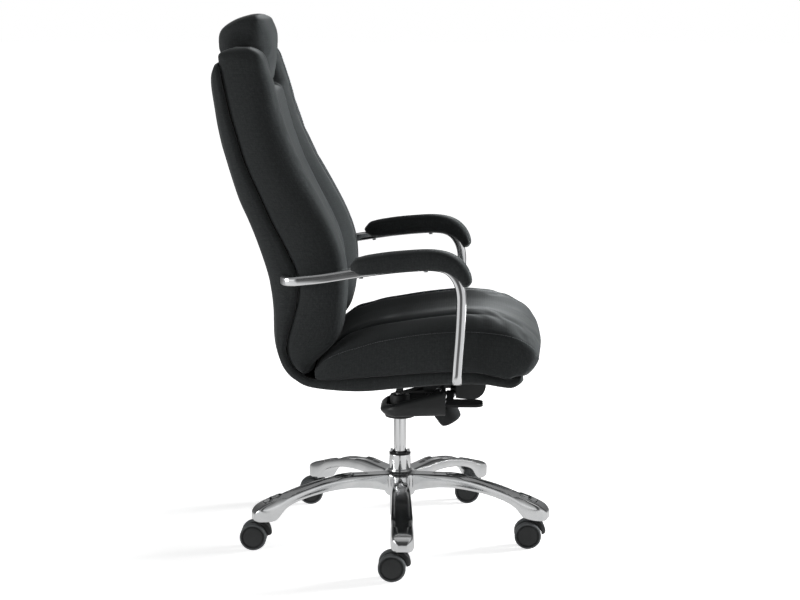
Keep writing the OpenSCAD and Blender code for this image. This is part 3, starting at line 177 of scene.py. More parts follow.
def turned(name, profile, sides=64):
    """Turned on the Z axis: a circle, then one extrusion and one scaling for each further (radius, height) in mm"""
    clear_selection()
    (radius, height), rest = profile[0], profile[1:]
    closed_start = radius == 0
    if closed_start:
        (radius, height), rest = rest[0], rest[1:]
    bpy.ops.mesh.primitive_circle_add(vertices=sides, radius=radius * MM, location=(0, 0, height * MM),
                                      fill_type="NGON" if closed_start else "NOTHING")
    piece = named(name)
    settle(piece)
    edit(piece)
    bpy.ops.mesh.select_mode(type="EDGE")
    bpy.ops.mesh.select_all(action="SELECT")
    if closed_start:
        pick("EDGE", lambda p, n: True)
    for next_radius, next_height in rest:
        if next_radius == 0:
            bpy.ops.mesh.edge_face_add()
            break
        bpy.ops.mesh.extrude_edges_move(
            TRANSFORM_OT_translate={"value": (0, 0, (next_height - height) * MM)})
        scale = next_radius / radius
        bpy.ops.transform.resize(value=(scale, scale, 1), center_override=(0, 0, next_height * MM))
        radius, height = next_radius, next_height
    bpy.ops.mesh.select_all(action="SELECT")
    bpy.ops.mesh.remove_doubles(threshold=0.00001)
    outward()
    leave()
    return piece


def block(name, low, high):
    """A box between two corners in mm"""
    clear_selection()
    middle = [(a + b) / 2 * MM for a, b in zip(low, high)]
    size = [abs(b - a) * MM for a, b in zip(low, high)]
    bpy.ops.mesh.primitive_cube_add(size=1, location=middle, scale=size)
    return settle(named(name))


def rod(name, radius, start, end, sides=40):
    """A round bar between two points in mm"""
    clear_selection()
    start, end = Vector(start), Vector(end)
    way = end - start
    bpy.ops.mesh.primitive_cylinder_add(vertices=sides, radius=radius * MM, depth=way.length * MM,
                                        location=(start + end) / 2 * MM,
                                        rotation=way.to_track_quat("Z", "Y").to_euler())
    return settle(named(name))


def cut(place, way, close=True):
    """Cuts the edited piece by a plane through a place in mm, and drops the side that the way points to"""
    bpy.ops.mesh.select_all(action="SELECT")
    bpy.ops.mesh.bisect(plane_co=[v * MM for v in place], plane_no=way, use_fill=close, clear_outer=True)


def bored(piece, tool, kind="DIFFERENCE"):
    """Cuts the tool out of the piece, and throws the tool away"""
    finish_with(piece, "BOOLEAN", object=tool, operation=kind, solver="EXACT")
    bpy.data.objects.remove(tool)
    return piece


# Finishes

class Nodes:
    """A node tree, written from left to right"""

    def __init__(self, tree):
        self.tree = tree
        self.place = tree.nodes.new("ShaderNodeTexCoord")

    def node(self, kind, inputs=None, **settings):
        made = self.tree.nodes.new(kind)
        for key, value in settings.items():
            setattr(made, key, value)
        for key, value in (inputs or {}).items():
            self.feed(made.inputs[key], value)
        return made

    def feed(self, socket, value):
        """Links another node's output to a socket, or sets its value, a colour being three or four numbers"""
        if isinstance(value, bpy.types.NodeSocket):
            self.tree.links.new(value, socket)
        elif isinstance(value, tuple) and len(value) == 3 and len(socket.default_value) == 4:
            socket.default_value = (*value, 1)
        else:
            socket.default_value = value

    def noise(self, scale, detail=3.0, roughness=0.5, where=None, stretch=None):
        where = where or self.place.outputs["Object"]
        if stretch:
            where = self.node("ShaderNodeMapping", {"Vector": where, "Scale": stretch}).outputs["Vector"]
        return self.node("ShaderNodeTexNoise", {"Vector": where, "Scale": scale, "Detail": detail,
                                                "Roughness": roughness}).outputs["Fac"]

    def spread(self, value, low, high, from_low=0.3, from_high=0.7):
        """Maps a pattern's value to a range"""
        return self.node("ShaderNodeMapRange", {"Value": value, "From Min": from_low, "From Max": from_high,
                                                "To Min": low, "To Max": high}).outputs["Result"]

    def mix(self, value, first, second, blend="MIX"):
        return self.node("ShaderNodeMix", {0: value, 6: first, 7: second}, data_type="RGBA",
                         blend_type=blend).outputs[2]

    def mix_shaders(self, value, first, second):
        return self.node("ShaderNodeMixShader", {0: value, 1: first, 2: second}).outputs[0]

    def maths(self, kind, first, second=0.0):
        return self.node("ShaderNodeMath", {0: first, 1: second}, operation=kind).outputs[0]

    def ramp(self, value, stops, tint=(1, 1, 1)):
        """Brightness by a value, from (value, brightness) stops"""
        made = self.node("ShaderNodeValToRGB", {"Fac": value})
        elements = made.color_ramp.elements
        while len(elements) < len(stops):
            elements.new(0.5)
        for element, (at, bright) in zip(elements, stops):
            element.position, element.color = at, (*(bright * part for part in tint), 1)
        return made.outputs["Color"]


class Finish(Nodes):
    """A material"""

    def __init__(self, name):
        self.material = bpy.data.materials.new(name)
        self.material.use_nodes = True
        super().__init__(self.material.node_tree)
        self.shader = self.tree.nodes["Principled BSDF"]

    def set(self, **values):
        for key, value in values.items():
            self.feed(self.shader.inputs[key.replace("_", " ")], value)

    def relief(self, height, strength, distance):
        """Ends a material with its grain, the distance in mm"""
        bump = self.node("ShaderNodeBump", {"Height": height, "Strength": strength, "Distance": distance * MM})
        self.feed(self.shader.inputs["Normal"], bump.outputs["Normal"])
        return self.material


def woven_cloth():
    """Dark grey upholstery cloth: a fine plain weave that follows the panels' own map, with a mottled yarn"""
    f = Finish("woven_cloth")
    cloth = f.place.outputs["UV"]
    threads_per_metre = 1150.0
    warp, weft = [f.node("ShaderNodeTexWave", {"Vector": cloth, "Scale": threads_per_metre / 20, "Distortion": 0.6,
                                               "Detail": 2.0, "Detail Scale": 1.5},
                         bands_direction=way, wave_profile="SIN").outputs["Fac"] for way in "XY"]
    threads = f.maths("MULTIPLY", warp, weft)
    yarn = f.noise(520, 2.0, 0.6, cloth)
    mottle = f.noise(150, 4.0, 0.65, cloth)
    shade = f.maths("MULTIPLY", f.spread(mottle, 0.55, 1.5), f.spread(yarn, 0.7, 1.3))
    shade = f.maths("MULTIPLY", shade, f.spread(threads, 0.9, 1.1, 0.0, 1.0))
    shade = f.maths("MULTIPLY", shade, f.spread(f.noise(7), 0.92, 1.1))
    colour = f.mix(f.spread(shade, 0.0, 1.0, 0.25, 2.2), (0.011, 0.0125, 0.013), (0.05, 0.055, 0.056))
    f.set(Base_Color=colour, Roughness=f.spread(mottle, 0.72, 0.88), Sheen_Weight=0.2, Sheen_Roughness=0.42,
          Sheen_Tint=(0.82, 0.86, 0.87), Specular_IOR_Level=0.3)
    return f.relief(f.maths("ADD", threads, f.maths("MULTIPLY", yarn, 0.7)), 0.3, 0.3)


def thread():
    f = Finish("sewing_thread")
    twist = f.noise(2600, 1.0)
    f.set(Base_Color=f.mix(twist, (0.1, 0.105, 0.108), (0.22, 0.23, 0.235)), Roughness=0.6, Sheen_Weight=0.2)
    return f.relief(twist, 0.4, 0.1)


def polished_aluminium():
    f = Finish("polished_aluminium")
    wave = f.noise(26)
    polish = f.noise(420, 2.0, 0.6)
    f.set(Metallic=1.0, Base_Color=f.mix(f.spread(wave, 0, 1), (0.74, 0.75, 0.755), (0.82, 0.825, 0.83)),
          Roughness=f.spread(polish, 0.1, 0.19))
    return f.relief(f.maths("ADD", wave, f.maths("MULTIPLY", polish, 0.03)), 0.1, 0.5)


def bright_chrome(name, shaded_top=False):
    """Chrome. The gas spring's turns black above the collar's foot: painted shade for the part that sits in the
    mechanism
    """
    f = Finish(name)
    haze = f.noise(60, 4.0, 0.6, stretch=(1.0, 1.0, 0.25))
    f.set(Metallic=1.0, Base_Color=CHROME_COLOUR, Roughness=f.spread(haze, 0.04, 0.11))
    if shaded_top:
        # Painted shade: black, not metal, above the collar's foot, where the tube sits in the shade inside the
        # mechanism
        height = f.node("ShaderNodeSeparateXYZ", {"Vector": f.place.outputs["Object"]}).outputs["Z"]
        top_shade = f.spread(height, 0, 1, 0.2795, 0.2805)
        f.set(Metallic=f.spread(top_shade, 1, 0, 0, 1), Base_Color=f.mix(top_shade, CHROME_COLOUR, (0.012, 0.012, 0.013)))
    return f.relief(haze, 0.02, 0.2)


def bright_steel():
    f = Finish("turned_steel")
    lines = f.noise(900, 2.0, stretch=(0.15, 0.15, 1.0))
    f.set(Metallic=1.0, Base_Color=f.mix(lines, (0.5, 0.51, 0.52), (0.66, 0.67, 0.68)),
          Roughness=f.spread(lines, 0.2, 0.36))
    return f.relief(lines, 0.1, 0.1)


def moulded_plastic(name, low, high, rough, grain, shine=0.45):
    """Black or grey moulded plastic with a spark-eroded grain"""
    f = Finish(name)
    speck = f.noise(grain, 2.0, 0.6)
    f.set(Base_Color=f.mix(f.spread(f.noise(18), 0, 1), low, high),
          Roughness=f.spread(speck, rough - 0.06, rough + 0.08), Specular_IOR_Level=shine)
    return f.relief(speck, 0.22, 0.12)


def coated_metal():
    """Black powder coat on the mechanism"""
    f = Finish("black_powder_coat")
    peel = f.noise(380, 2.0, 0.55)
    f.set(Base_Color=f.mix(f.spread(f.noise(12), 0, 1), (0.015, 0.016, 0.0165), (0.024, 0.0255, 0.026)),
          Roughness=f.spread(peel, 0.4, 0.54), Specular_IOR_Level=0.45)
    return f.relief(peel, 0.2, 0.15)


def plywood():
    """Plywood made near black: painted shade for its edges in the gaps between the covers, so that no pale edge shows
    there
    """
    f = Finish("plywood_dark_as_shade")
    grain = f.noise(40, 5.0, 0.6, stretch=(1.0, 8.0, 8.0))
    # The near-black colour is painted shade, for the board's edges down in the gaps; the grain is the wood's own
    f.set(Base_Color=f.mix(f.spread(grain, 0, 1), (0.009, 0.0085, 0.008), (0.02, 0.018, 0.016)), Roughness=0.75,
          Specular_IOR_Level=0.2)
    return f.relief(grain, 0.2, 0.3)


CHROME_COLOUR = (0.84, 0.845, 0.85)
CLOTH = woven_cloth()
THREAD = thread()
ALUMINIUM = polished_aluminium()
CHROME = bright_chrome("bright_chrome")
STEEL = bright_steel()
GAS_TUBE = bright_chrome("gas_spring_tube", shaded_top=True)
BLACK_PLASTIC = moulded_plastic("black_plastic", (0.010, 0.0105, 0.011), (0.02, 0.0205, 0.021), 0.55, 900, 0.25)
KNOB_PLASTIC = moulded_plastic("knob_plastic", (0.018, 0.0195, 0.02), (0.026, 0.0275, 0.028), 0.66, 700, 0.3)
WHEEL_PLASTIC = moulded_plastic("wheel_plastic", (0.018, 0.0195, 0.02), (0.03, 0.032, 0.033), 0.5, 800)
TREAD = moulded_plastic("tread_rubber", (0.10, 0.107, 0.11), (0.135, 0.143, 0.147), 0.62, 500)
COAT = coated_metal()
PLY = plywood()


def finish(piece, *materials):
    piece.data.materials.clear()
    for material in materials:
        piece.data.materials.append(material)
    return piece


def fit(piece, body, replaced=(), material=None):
    """Dresses a new piece: its finish, the body that it rides and the CAD nodes that it stands for"""
    if material:
        finish(piece, material)
    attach(piece, body)
    if replaced:
        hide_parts(*replaced)
    return piece


# Soft forms

def read_table(rows, at):
    """Smooth curve through a table of [key, values...] rows, read at the given keys"""
    rows = np.asarray(rows, float)
    at = np.asarray(at, float)
    keys, values = rows[:, 0], rows[:, 1:]
    span = np.diff(keys)
    rise = np.diff(values, axis=0) / span[:, None]
    inner = (rise[:-1] * span[1:, None] + rise[1:] * span[:-1, None]) / (span[1:] + span[:-1])[:, None]
    slope = np.vstack([rise[:1], inner, rise[-1:]])
    i = np.clip(np.searchsorted(keys, at, side="right") - 1, 0, len(span) - 1)
    s = span[i][..., None]
    t = np.clip((at - keys[i])[..., None] / s, 0, 1)
    return ((2 * t**3 - 3 * t**2 + 1) * values[i] + (t**3 - 2 * t**2 + t) * s * slope[i]
            + (3 * t**2 - 2 * t**3) * values[i + 1] + (t**3 - t**2) * s * slope[i + 1])


def by_number(rows, at):
    """The same, with the rows keyed by their number"""
    rows = np.asarray(rows, float)
    return read_table(np.column_stack([np.arange(len(rows)), rows]), at)


def run_along(line):
    """Distance of each point of a line from its start"""
    return np.concatenate([[0], np.cumsum(np.linalg.norm(np.diff(line, axis=0), axis=1))])


def ease(value, low, high):
    t = np.clip((value - low) / (high - low), 0, 1)
    return t * t * (3 - 2 * t)


def soft_skin(name, cells, shape):
    """A closed skin over the six sides of a box of cells. shape(a, b, c) gives the points in mm for shares across,
    along and through, and the distances along and through that the cloth's map is laid by."""
    na, nb, nc = cells
    i, j, k = np.meshgrid(np.arange(na + 1), np.arange(nb + 1), np.arange(nc + 1), indexing="ij")
    outside = (i == 0) | (i == na) | (j == 0) | (j == nb) | (k == 0) | (k == nc)
    number = np.full(i.shape, -1)
    number[outside] = np.arange(outside.sum())
    a, b, c = i[outside] / na, j[outside] / nb, k[outside] / nc
    points, along, through = shape(a, b, c)
    quads, kinds = [], []

    def side(sheet, kind, flip):
        corner = [sheet[:-1, :-1], sheet[1:, :-1], sheet[1:, 1:], sheet[:-1, 1:]]
        if flip:
            corner = corner[::-1]
        quads.append(np.stack([x.ravel() for x in corner], 1))
        kinds.extend([kind] * corner[0].size)

    side(number[:, :, 0], "c", False)
    side(number[:, :, nc], "c", True)
    side(number[:, 0, :], "b", True)
    side(number[:, nb, :], "b", False)
    side(number[0], "a", False)
    side(number[na], "a", True)
    quads = np.vstack(quads)
    mesh = bpy.data.meshes.new(name)
    mesh.from_pydata((points * MM).tolist(), [], quads.tolist())
    piece = bpy.data.objects.new(name, mesh)
    bpy.context.scene.collection.objects.link(piece)
    laid = mesh.uv_layers.new(name="UVMap")
    uv = np.zeros((len(quads) * 4, 2))
    flat = quads.ravel()
    kind = np.repeat(np.array(kinds), 4)
    uv[:, 0] = np.where(kind == "a", through[flat], points[flat, 0])
    uv[:, 1] = np.where(kind == "b", through[flat], along[flat])
    laid.data.foreach_set("uv", (uv * MM).ravel())
    edit(piece)
    outward()
    leave()
    for key, value in (("across", a), ("along", b), ("through", c)):
        mesh.attributes.new(key, "FLOAT", "POINT").data.foreach_set("value", value.astype(np.float32))
    return piece


def read_out(items, key, width):
    out = np.zeros(len(items) * width, np.float32)
    items.foreach_get(key, out)
    return out.reshape(-1, width)


def shares_of(piece):
    """Each point's shares across, along and through its soft form"""
    return [read_out(piece.data.attributes[key].data, "value", 1)[:, 0] for key in ("across", "along", "through")]


def points_of(piece):
    return read_out(piece.data.vertices, "co", 3) / MM


def put_points(piece, points):
    piece.data.vertices.foreach_set("co", (np.asarray(points) * MM).astype(np.float32).ravel())
    piece.data.update()


CLOTH_BAG = {"quality": 6, "mass": 0.3, "tension_stiffness": 25, "compression_stiffness": 25, "shear_stiffness": 12,
             "bending_stiffness": 1.2, "vertex_group_mass": "held", "use_pressure": True}
LAST_FRAME = 20


def swell(piece, held, most, pressure=4.0):
    """Lets a cushion swell like a filled cloth bag: held is 1 where the cloth is sewn or rests on something, and no
    point ends further than most mm from its start"""
    start = points_of(piece)
    group = piece.vertex_groups.new(name="held")
    for number, weight in enumerate(held):
        group.add([number], float(weight), "REPLACE")
    cloth = piece.modifiers.new("Cloth", "CLOTH")
    for key, value in CLOTH_BAG.items():
        setattr(cloth.settings, key, value)
    cloth.settings.uniform_pressure_force = pressure
    cloth.settings.effector_weights.gravity = 0
    cloth.collision_settings.use_collision = False
    cloth.collision_settings.use_self_collision = False
    cloth.point_cache.frame_start, cloth.point_cache.frame_end = 1, LAST_FRAME
    scene = bpy.context.scene
    for number in range(1, LAST_FRAME + 1):
        scene.frame_set(number)
    seen = piece.evaluated_get(bpy.context.evaluated_depsgraph_get())
    end = read_out(seen.data.vertices, "co", 3) / MM
    piece.modifiers.remove(cloth)
    piece.vertex_groups.remove(group)
    scene.frame_set(1)
    way = end - start
    length = np.linalg.norm(way, axis=1, keepdims=True)
    put_points(piece, start + way * np.minimum(1, most / np.maximum(length, 1e-6)))


def refine(piece, levels=1):
    finish_with(piece, "SUBSURF", levels=levels, render_levels=levels)
    hold(piece)
    bpy.ops.object.shade_smooth()
    return piece


NO_SEAM = 99.0   # a distance in mm at which no seam draws the cloth


def sew(piece, lines, depth, width):
    """Draws the cloth in along seams: lines gives each point's distance in mm to the nearest seam"""
    points = points_of(piece)
    pull = depth * np.exp(-(lines / width) ** 2)
    put_points(piece, points - read_out(piece.data.vertices, "normal", 3) * pull[:, None])


def stitches(name, piece, paths, pitch=5.2, length=4.2, thick=1.0):
    """Short rounded stitches in rows along paths in mm, lying on the cloth"""
    tree = BVHTree.FromPolygons([v.co.copy() for v in piece.data.vertices],
                                [tuple(p.vertices) for p in piece.data.polygons])
    points, faces = [], []
    ring, rows = 6, ((-0.5, 0.35), (-0.3, 0.85), (0.0, 1.0), (0.3, 0.85), (0.5, 0.35))
    for path in paths:
        path = np.asarray(path, float)
        run = run_along(path)
        for start in np.arange(pitch, run[-1] - pitch, pitch):
            ends = [Vector([np.interp(start + s, run, path[:, k]) for k in range(3)]) * MM for s in (0, length)]
            hits = [tree.find_nearest(e) for e in ends]
            if any(h[0] is None for h in hits):
                continue
            normal = ((hits[0][1] + hits[1][1]) / 2).normalized()
            way = hits[1][0] - hits[0][0]
            across = normal.cross(way).normalized()
            middle = (hits[0][0] + hits[1][0]) / 2 + normal * thick * 0.12 * MM
            first = len(points)
            for share, size in rows:
                for n in range(ring):
                    a = 2 * math.pi * n / ring
                    points.append(middle + way * share
                                  + (across * math.cos(a) + normal * math.sin(a) * 0.8) * thick / 2 * size * MM)
            for r in range(len(rows) - 1):
                for n in range(ring):
                    m = (n + 1) % ring
                    faces.append([first + r * ring + n, first + r * ring + m,
                                  first + (r + 1) * ring + m, first + (r + 1) * ring + n])
            faces.append([first + n for n in range(ring)][::-1])
            faces.append([first + (len(rows) - 1) * ring + n for n in range(ring)])
    mesh = bpy.data.meshes.new(name)
    mesh.from_pydata(points, [], faces)
    row = bpy.data.objects.new(name, mesh)
    bpy.context.scene.collection.objects.link(row)
    edit(row)
    outward()
    leave()
    hold(row)
    bpy.ops.object.shade_smooth()
    return row


# The upholstered shell's side view, as in the CAD source: forward and height of its front face, forward and height of
# its outer face, half width and extra thickness in the middle
SHELL = np.array([
    [-0.509, 0.877, -0.518, 0.871, 0.412, 0.028],
    [-0.501, 0.842, -0.521, 0.836, 0.424, 0.044],
    [-0.477, 0.742, -0.507, 0.747, 0.438, 0.052],
    [-0.457, 0.679, -0.491, 0.673, 0.446, 0.054],
    [-0.436, 0.614, -0.474, 0.614, 0.456, 0.056],
    [-0.389, 0.515, -0.44, 0.51, 0.47, 0.054],
    [-0.357, 0.449, -0.413, 0.449, 0.48, 0.052],
    [-0.324, 0.391, -0.389, 0.391, 0.488, 0.05],
    [-0.286, 0.311, -0.361, 0.311, 0.5, 0.048],
    [-0.281, 0.259, -0.35, 0.259, 0.5, 0.046],
    [-0.295, 0.195, -0.343, 0.197, 0.5, 0.046],
    [-0.317, 0.116, -0.341, 0.116, 0.5, 0.046],
    [-0.313, 0.081, -0.334, 0.077, 0.5, 0.036],
    [-0.298, 0.055, -0.319, 0.045, 0.5, 0.024],
    [-0.268, 0.03, -0.293, 0.019, 0.5, 0.016],
    [-0.226, 0.017, -0.242, -0.004, 0.5, 0.01],
    [-0.114, 0.0215, -0.114, -0.015, 0.5, 0.006],
    [-0.004, 0.0305, -0.004, -0.007, 0.5, 0.002],
    [0.106, 0.039, 0.106, 0.0035, 0.5, 0.006],
    [0.188, 0.041, 0.188, 0.0085, 0.5, 0.0135],
    [0.243, 0.0375, 0.255, 0.008, 0.5, 0.0125],
    [0.298, 0.027, 0.306, 0, 0.497, 0.005],
    [0.336, 0.021, 0.338, -0.002, 0.488, 0],
    [0.365, 0.027, 0.368, 0.016, 0.476, 0]])
SHELL_LAST = len(SHELL) - 1
RIM = 12.0
END_ROUND = 14.0
# The seat bracket under the shell, with room round it, mm
BRACKET_HALF, BRACKET_REAR, BRACKET_FRONT = 84, 12, 199


def quarter(distance, radius):
    """How far a rounded edge falls back at a distance from the face that it starts from"""
    t = np.clip(1 - distance / radius, 0, 1)
    return radius * (1 - np.sqrt(1 - t ** 2))


def shell_cover():
    """The one-piece cover of the shell: flat where the cushions lie, with a rounded rim, full at the back"""
    path = np.linspace(0, 1, 400)
    line = by_number(SHELL, path * SHELL_LAST)[:, 2:4] * [BODY_D, BODY_H]
    run = run_along(line)

    def shape(a, b, c):
        row = by_number(SHELL, b * SHELL_LAST)
        front = np.stack([row[:, 0] * BODY_D, SEAT_FOOT + row[:, 1] * BODY_H], 1)
        outer = np.stack([row[:, 2] * BODY_D, SEAT_FOOT + row[:, 3] * BODY_H], 1)
        along = np.interp(b, path, run)
        half = row[:, 4] * BODY_W - quarter(np.minimum(along, run[-1] - along), END_ROUND)
        more = row[:, 5] * BODY_W
        thick = np.linalg.norm(outer - front, axis=1)
        way = (outer - front) / thick[:, None]
        x_share = 2 * a - 1
        away = 1 - (1 - np.abs(x_share)) ** 1.6
        x = np.sign(x_share) * away * half
        from_side = half - np.abs(x)
        bulge = more * np.clip(1 - away ** 2.4, 0, 1)
        near = quarter(from_side, np.minimum(RIM, thick * 0.42)) - 0.8
        far = thick + bulge - quarter(from_side, np.minimum(24.0, thick * 0.5))
        depth = near * (1 - c) + far * c
        spot = front + way * depth[:, None]
        under = (np.abs(x) < BRACKET_HALF) & (spot[:, 0] > BRACKET_REAR) & (spot[:, 0] < BRACKET_FRONT) & (c == 1)
        spot[:, 1] = np.where(under, np.maximum(spot[:, 1], SEAT_FOOT + 0.3), spot[:, 1])
        return np.stack([x, -spot[:, 0], spot[:, 1]], 1), along, depth
    return soft_skin("shell_cover_cloth", (44, 138, 8), shape)


# The back cushion: height, forward of its rear above the shell, of its side seam and of its front
BACK = np.array([
    [0.026, -0.2615, -0.2555, -0.249],
    [0.038, -0.278, -0.256, -0.24],
    [0.058, -0.2975, -0.25, -0.236],
    [0.085, -0.3105, -0.22, -0.208],
    [0.12, -0.315, -0.185, -0.172],
    [0.165, -0.304, -0.166, -0.153],
    [0.22, -0.288, -0.155, -0.144],
    [0.285, -0.281, -0.151, -0.14],
    [0.35, -0.3, -0.157, -0.148],
    [0.42, -0.332, -0.183, -0.1735],
    [0.5, -0.3725, -0.227, -0.2175],
    [0.58, -0.411, -0.275, -0.2655],
    [0.66, -0.441, -0.313, -0.3045],
    [0.74, -0.465, -0.342, -0.334],
    [0.82, -0.485, -0.363, -0.3555],
    [0.865, -0.4975, -0.378, -0.371],
    [0.89, -0.510, -0.386, -0.38],
    [0.908, -0.497, -0.405, -0.4],
    [0.916, -0.466, -0.43, -0.425]])
BACK_LOW, BACK_HIGH = 0.031, 0.9145
WING_SEAM = 0.70      # seam on the wing's ridge, as a share of the half width
PANEL_SEAM = 0.46     # seam between the middle panel and the wing's inner slope
TUCK = 13.0           # roundness of the cushions' edges against the shell
# How far the middle panel lies behind the wings' ridges, mm, by height
BACK_DIP = np.array([[0.0, 10], [0.12, 22], [0.3, 29], [0.55, 28], [0.66, 19], [0.78, 12], [1.0, 12]])
HEAD_HALF = 95.9      # half the room for the headrest between the wings, mm


# The headrest: height, forward of its rear and of its front, half width
HEAD_LOW, HEAD_HIGH = 0.81, 0.998
HEAD = np.array([
    [0.808, 0, -0.396, 0.172],
    [0.816, 0, -0.386, 0.180],
    [0.842, 0, -0.378, 0.185],
    [0.877, 0, -0.374, 0.189],
    [0.8795, -0.52, -0.3738, 0.1895],
    [0.905, -0.531, -0.371, 0.191],
    [0.918, -0.5315, -0.3705, 0.198],
    [0.93, -0.531, -0.3705, 0.214],
    [0.945, -0.529, -0.3715, 0.229],
    [0.96, -0.521, -0.3755, 0.237],
    [0.978, -0.497, -0.384, 0.234],
    [0.992, -0.466, -0.394, 0.215],
    [0.999, -0.44, -0.412, 0.18]])


def shell_front_at(height):
    rows = SHELL[14::-1]
    return read_table(rows[:, [1, 0]], height)[:, 0]


def back_half_width(height):
    return (0.498 - np.maximum(0, height - 0.311) * 0.155) * BODY_W


def back_shape(a, b, c):
    share = 0.75 * b + 0.25 * (0.5 - 0.5 * np.cos(np.pi * b))
    height = BACK_LOW + (BACK_HIGH - BACK_LOW) * share
    row = read_table(BACK, height)
    rear = np.where(height < 0.877, shell_front_at(np.minimum(height, 0.877)), row[:, 0]) * BODY_D + 1.0
    seam = np.maximum(row[:, 1] * BODY_D, rear + 1)
    front = np.maximum(row[:, 2] * BODY_D, rear + 2)
    deep = front - rear
    end = np.minimum((height - BACK_LOW) * 1.4, BACK_HIGH - height) * BODY_H
    half = back_half_width(height) - quarter(end, 24.0)
    dip = np.minimum(read_table(BACK_DIP, height)[:, 0], deep * 0.3)
    x_share = 2 * a - 1
    away = np.abs(x_share)
    # Across the front: a filled middle panel, the rise to the wing's ridge, and the wing falling to its side seam
    section = np.array([[0, 0, 1.0], [0.3, 0.3, 0.99], [0.42, 0.42, 0.93], [0.46, 0.46, 0.86], [0.54, 0.54, 0.46],
                        [0.63, 0.63, 0.1], [0.72, 0.75, 0.0], [0.82, 0.86, -1.0], [0.92, 0.945, -2.0],
                        [1.0, 0.985, -3.0]])
    level = read_table(section, away)
    fall = level[:, 1]
    drop = np.where(fall >= 0, dip * fall,
                    np.where(fall > -1, -fall * 0.22 * (front - seam),
                             np.where(fall > -2, (0.22 + (-fall - 1) * 0.55) * (front - seam),
                                      0.77 * (front - seam) + (-fall - 2) * (0.23 * (front - seam) + deep * 0.1))))
    face_x, face_u = half * level[:, 0], front - drop
    # Through the side: from the side seam back to the shell, where the cloth turns inwards
    through = 1 - (1 - c) ** 1.7
    side_deep = np.maximum(seam - deep * 0.1 - rear, 1)
    tuck = np.minimum(TUCK, side_deep * 0.5)
    swell_out = half * (0.985 + 0.02 * np.sin(np.pi * through)) - quarter((1 - through) * side_deep, tuck)
    x = np.where(away == 1, swell_out, face_x * (1 - through) + (half * 0.985 - tuck) * away * through)
    u = face_u * (1 - through) + rear * through
    x = np.sign(x_share) * x
    # Room for the headrest between the wings
    inner = np.abs(x)
    room = ease(height, 0.794, 0.814) * (1 - ease(inner, HEAD_HALF - 3.0, HEAD_HALF + 17.0))
    beside = np.maximum(rear, read_table(HEAD[:, [0, 2]], np.clip(height, 0.808, 0.999))[:, 0] * BODY_D - 5.0)
    u = u * (1 - room) + np.where(inner < HEAD_HALF - 5.0, rear + (u - rear) * 0.02, np.minimum(u, beside)) * room
    z = SEAT_FOOT + height * BODY_H
    path = np.linspace(0, 1, 300)
    heights = BACK_LOW + (BACK_HIGH - BACK_LOW) * path
    run = run_along(np.column_stack([read_table(BACK, heights)[:, 2] * BODY_D, heights * BODY_H]))
    return np.stack([x, -u, z], 1), np.interp(share, path, run), front - u


def seam_line(shape, away, low, high, steps=160):
    """Points in mm along a seam of a soft form, at a share of the half width, on both sides of the chair"""
    b = np.linspace(low, high, steps)
    still = np.zeros(steps)
    return [shape(still + (1 + side * away) / 2, b, still)[0] for side in (-1, 1)]


def back_cushion():
    piece = soft_skin("back_cushion_cloth", (60, 84, 12), back_shape)
    a, b, c = shares_of(piece)
    away = np.abs(2 * a - 1)
    sewn = ((np.abs(away - WING_SEAM) < 0.02) | (np.abs(away - PANEL_SEAM) < 0.02)) & (c == 0)
    held = np.where((c > 0.7) | (b < 0.02) | (b > 0.985) | sewn, 1.0, 0.0)
    height = points_of(piece)[:, 2]
    held = np.maximum(held, ((height > SEAT_FOOT + 0.79 * BODY_H) & (np.abs(points_of(piece)[:, 0]) < 112)) * 1.0)
    swell(piece, held, 5.0)
    refine(piece)
    a, b, c = shares_of(piece)
    height = (points_of(piece)[:, 2] - SEAT_FOOT) / BODY_H
    for seam, depth, width in ((WING_SEAM, 2.4, 3.0), (PANEL_SEAM, 2.6, 3.4)):
        off = (np.abs(2 * a - 1) - seam) * back_half_width(height)
        off = np.where((c < 0.05) & (b > 0.01), off, NO_SEAM)
        sew(piece, off, depth, width)
    return piece


def round_off(across, through, power):
    """How far a square section's points are drawn in to make it round, and the ring that each point lies on"""
    ring = np.maximum(np.abs(across), np.abs(through))
    length = (np.abs(across) ** power + np.abs(through) ** power) ** (1 / power) / np.maximum(ring, 0.001)
    return np.where(ring > 0, length, 1), ring


def head_shape(a, b, c):
    height = HEAD_LOW + (HEAD_HIGH - HEAD_LOW) * b
    lower = height < 0.878
    row = read_table(HEAD[:, [0, 2, 3]], height)
    rear_table = np.vstack([[[h, shell_front_at(np.array([h]))[0] + 0.0022] for h in (0.808, 0.84, 0.86, 0.876)],
                            HEAD[4:, :2] + [[0.0035, 0]] * len(HEAD[4:])])
    rear = np.where(lower, read_table(rear_table, height)[:, 0], read_table(HEAD[4:, :2], height)[:, 0]) * BODY_D
    front, half = row[:, 0] * BODY_D, row[:, 1] * BODY_W
    x_share, middle, deep = 2 * a - 1, (front + rear) / 2, (front - rear) / 2
    length, ring = round_off(x_share, 1 - 2 * c, 3.7)
    x, u = half * x_share / length, middle + deep * (1 - 2 * c) / length
    crown = 1.5 * (1 - x_share ** 2) * np.sin(np.pi * np.clip(b, 0, 1)) * (c == 0)
    z = SEAT_FOOT + height * BODY_H + 3.0 * (1 - ring ** 2) * (b == 1)
    return np.stack([x, -(u + crown), z], 1), height * BODY_H * 1.05, front - u


def headrest():
    piece = soft_skin("headrest_cloth", (40, 40, 26), head_shape)
    a, b, c = shares_of(piece)
    held = np.where((b < 0.34) & ((c > 0.4) | (np.abs(2 * a - 1) == 1)) | (b < 0.03), 1.0, 0.0)
    swell(piece, held, 4.0, 3.0)
    refine(piece)
    return piece


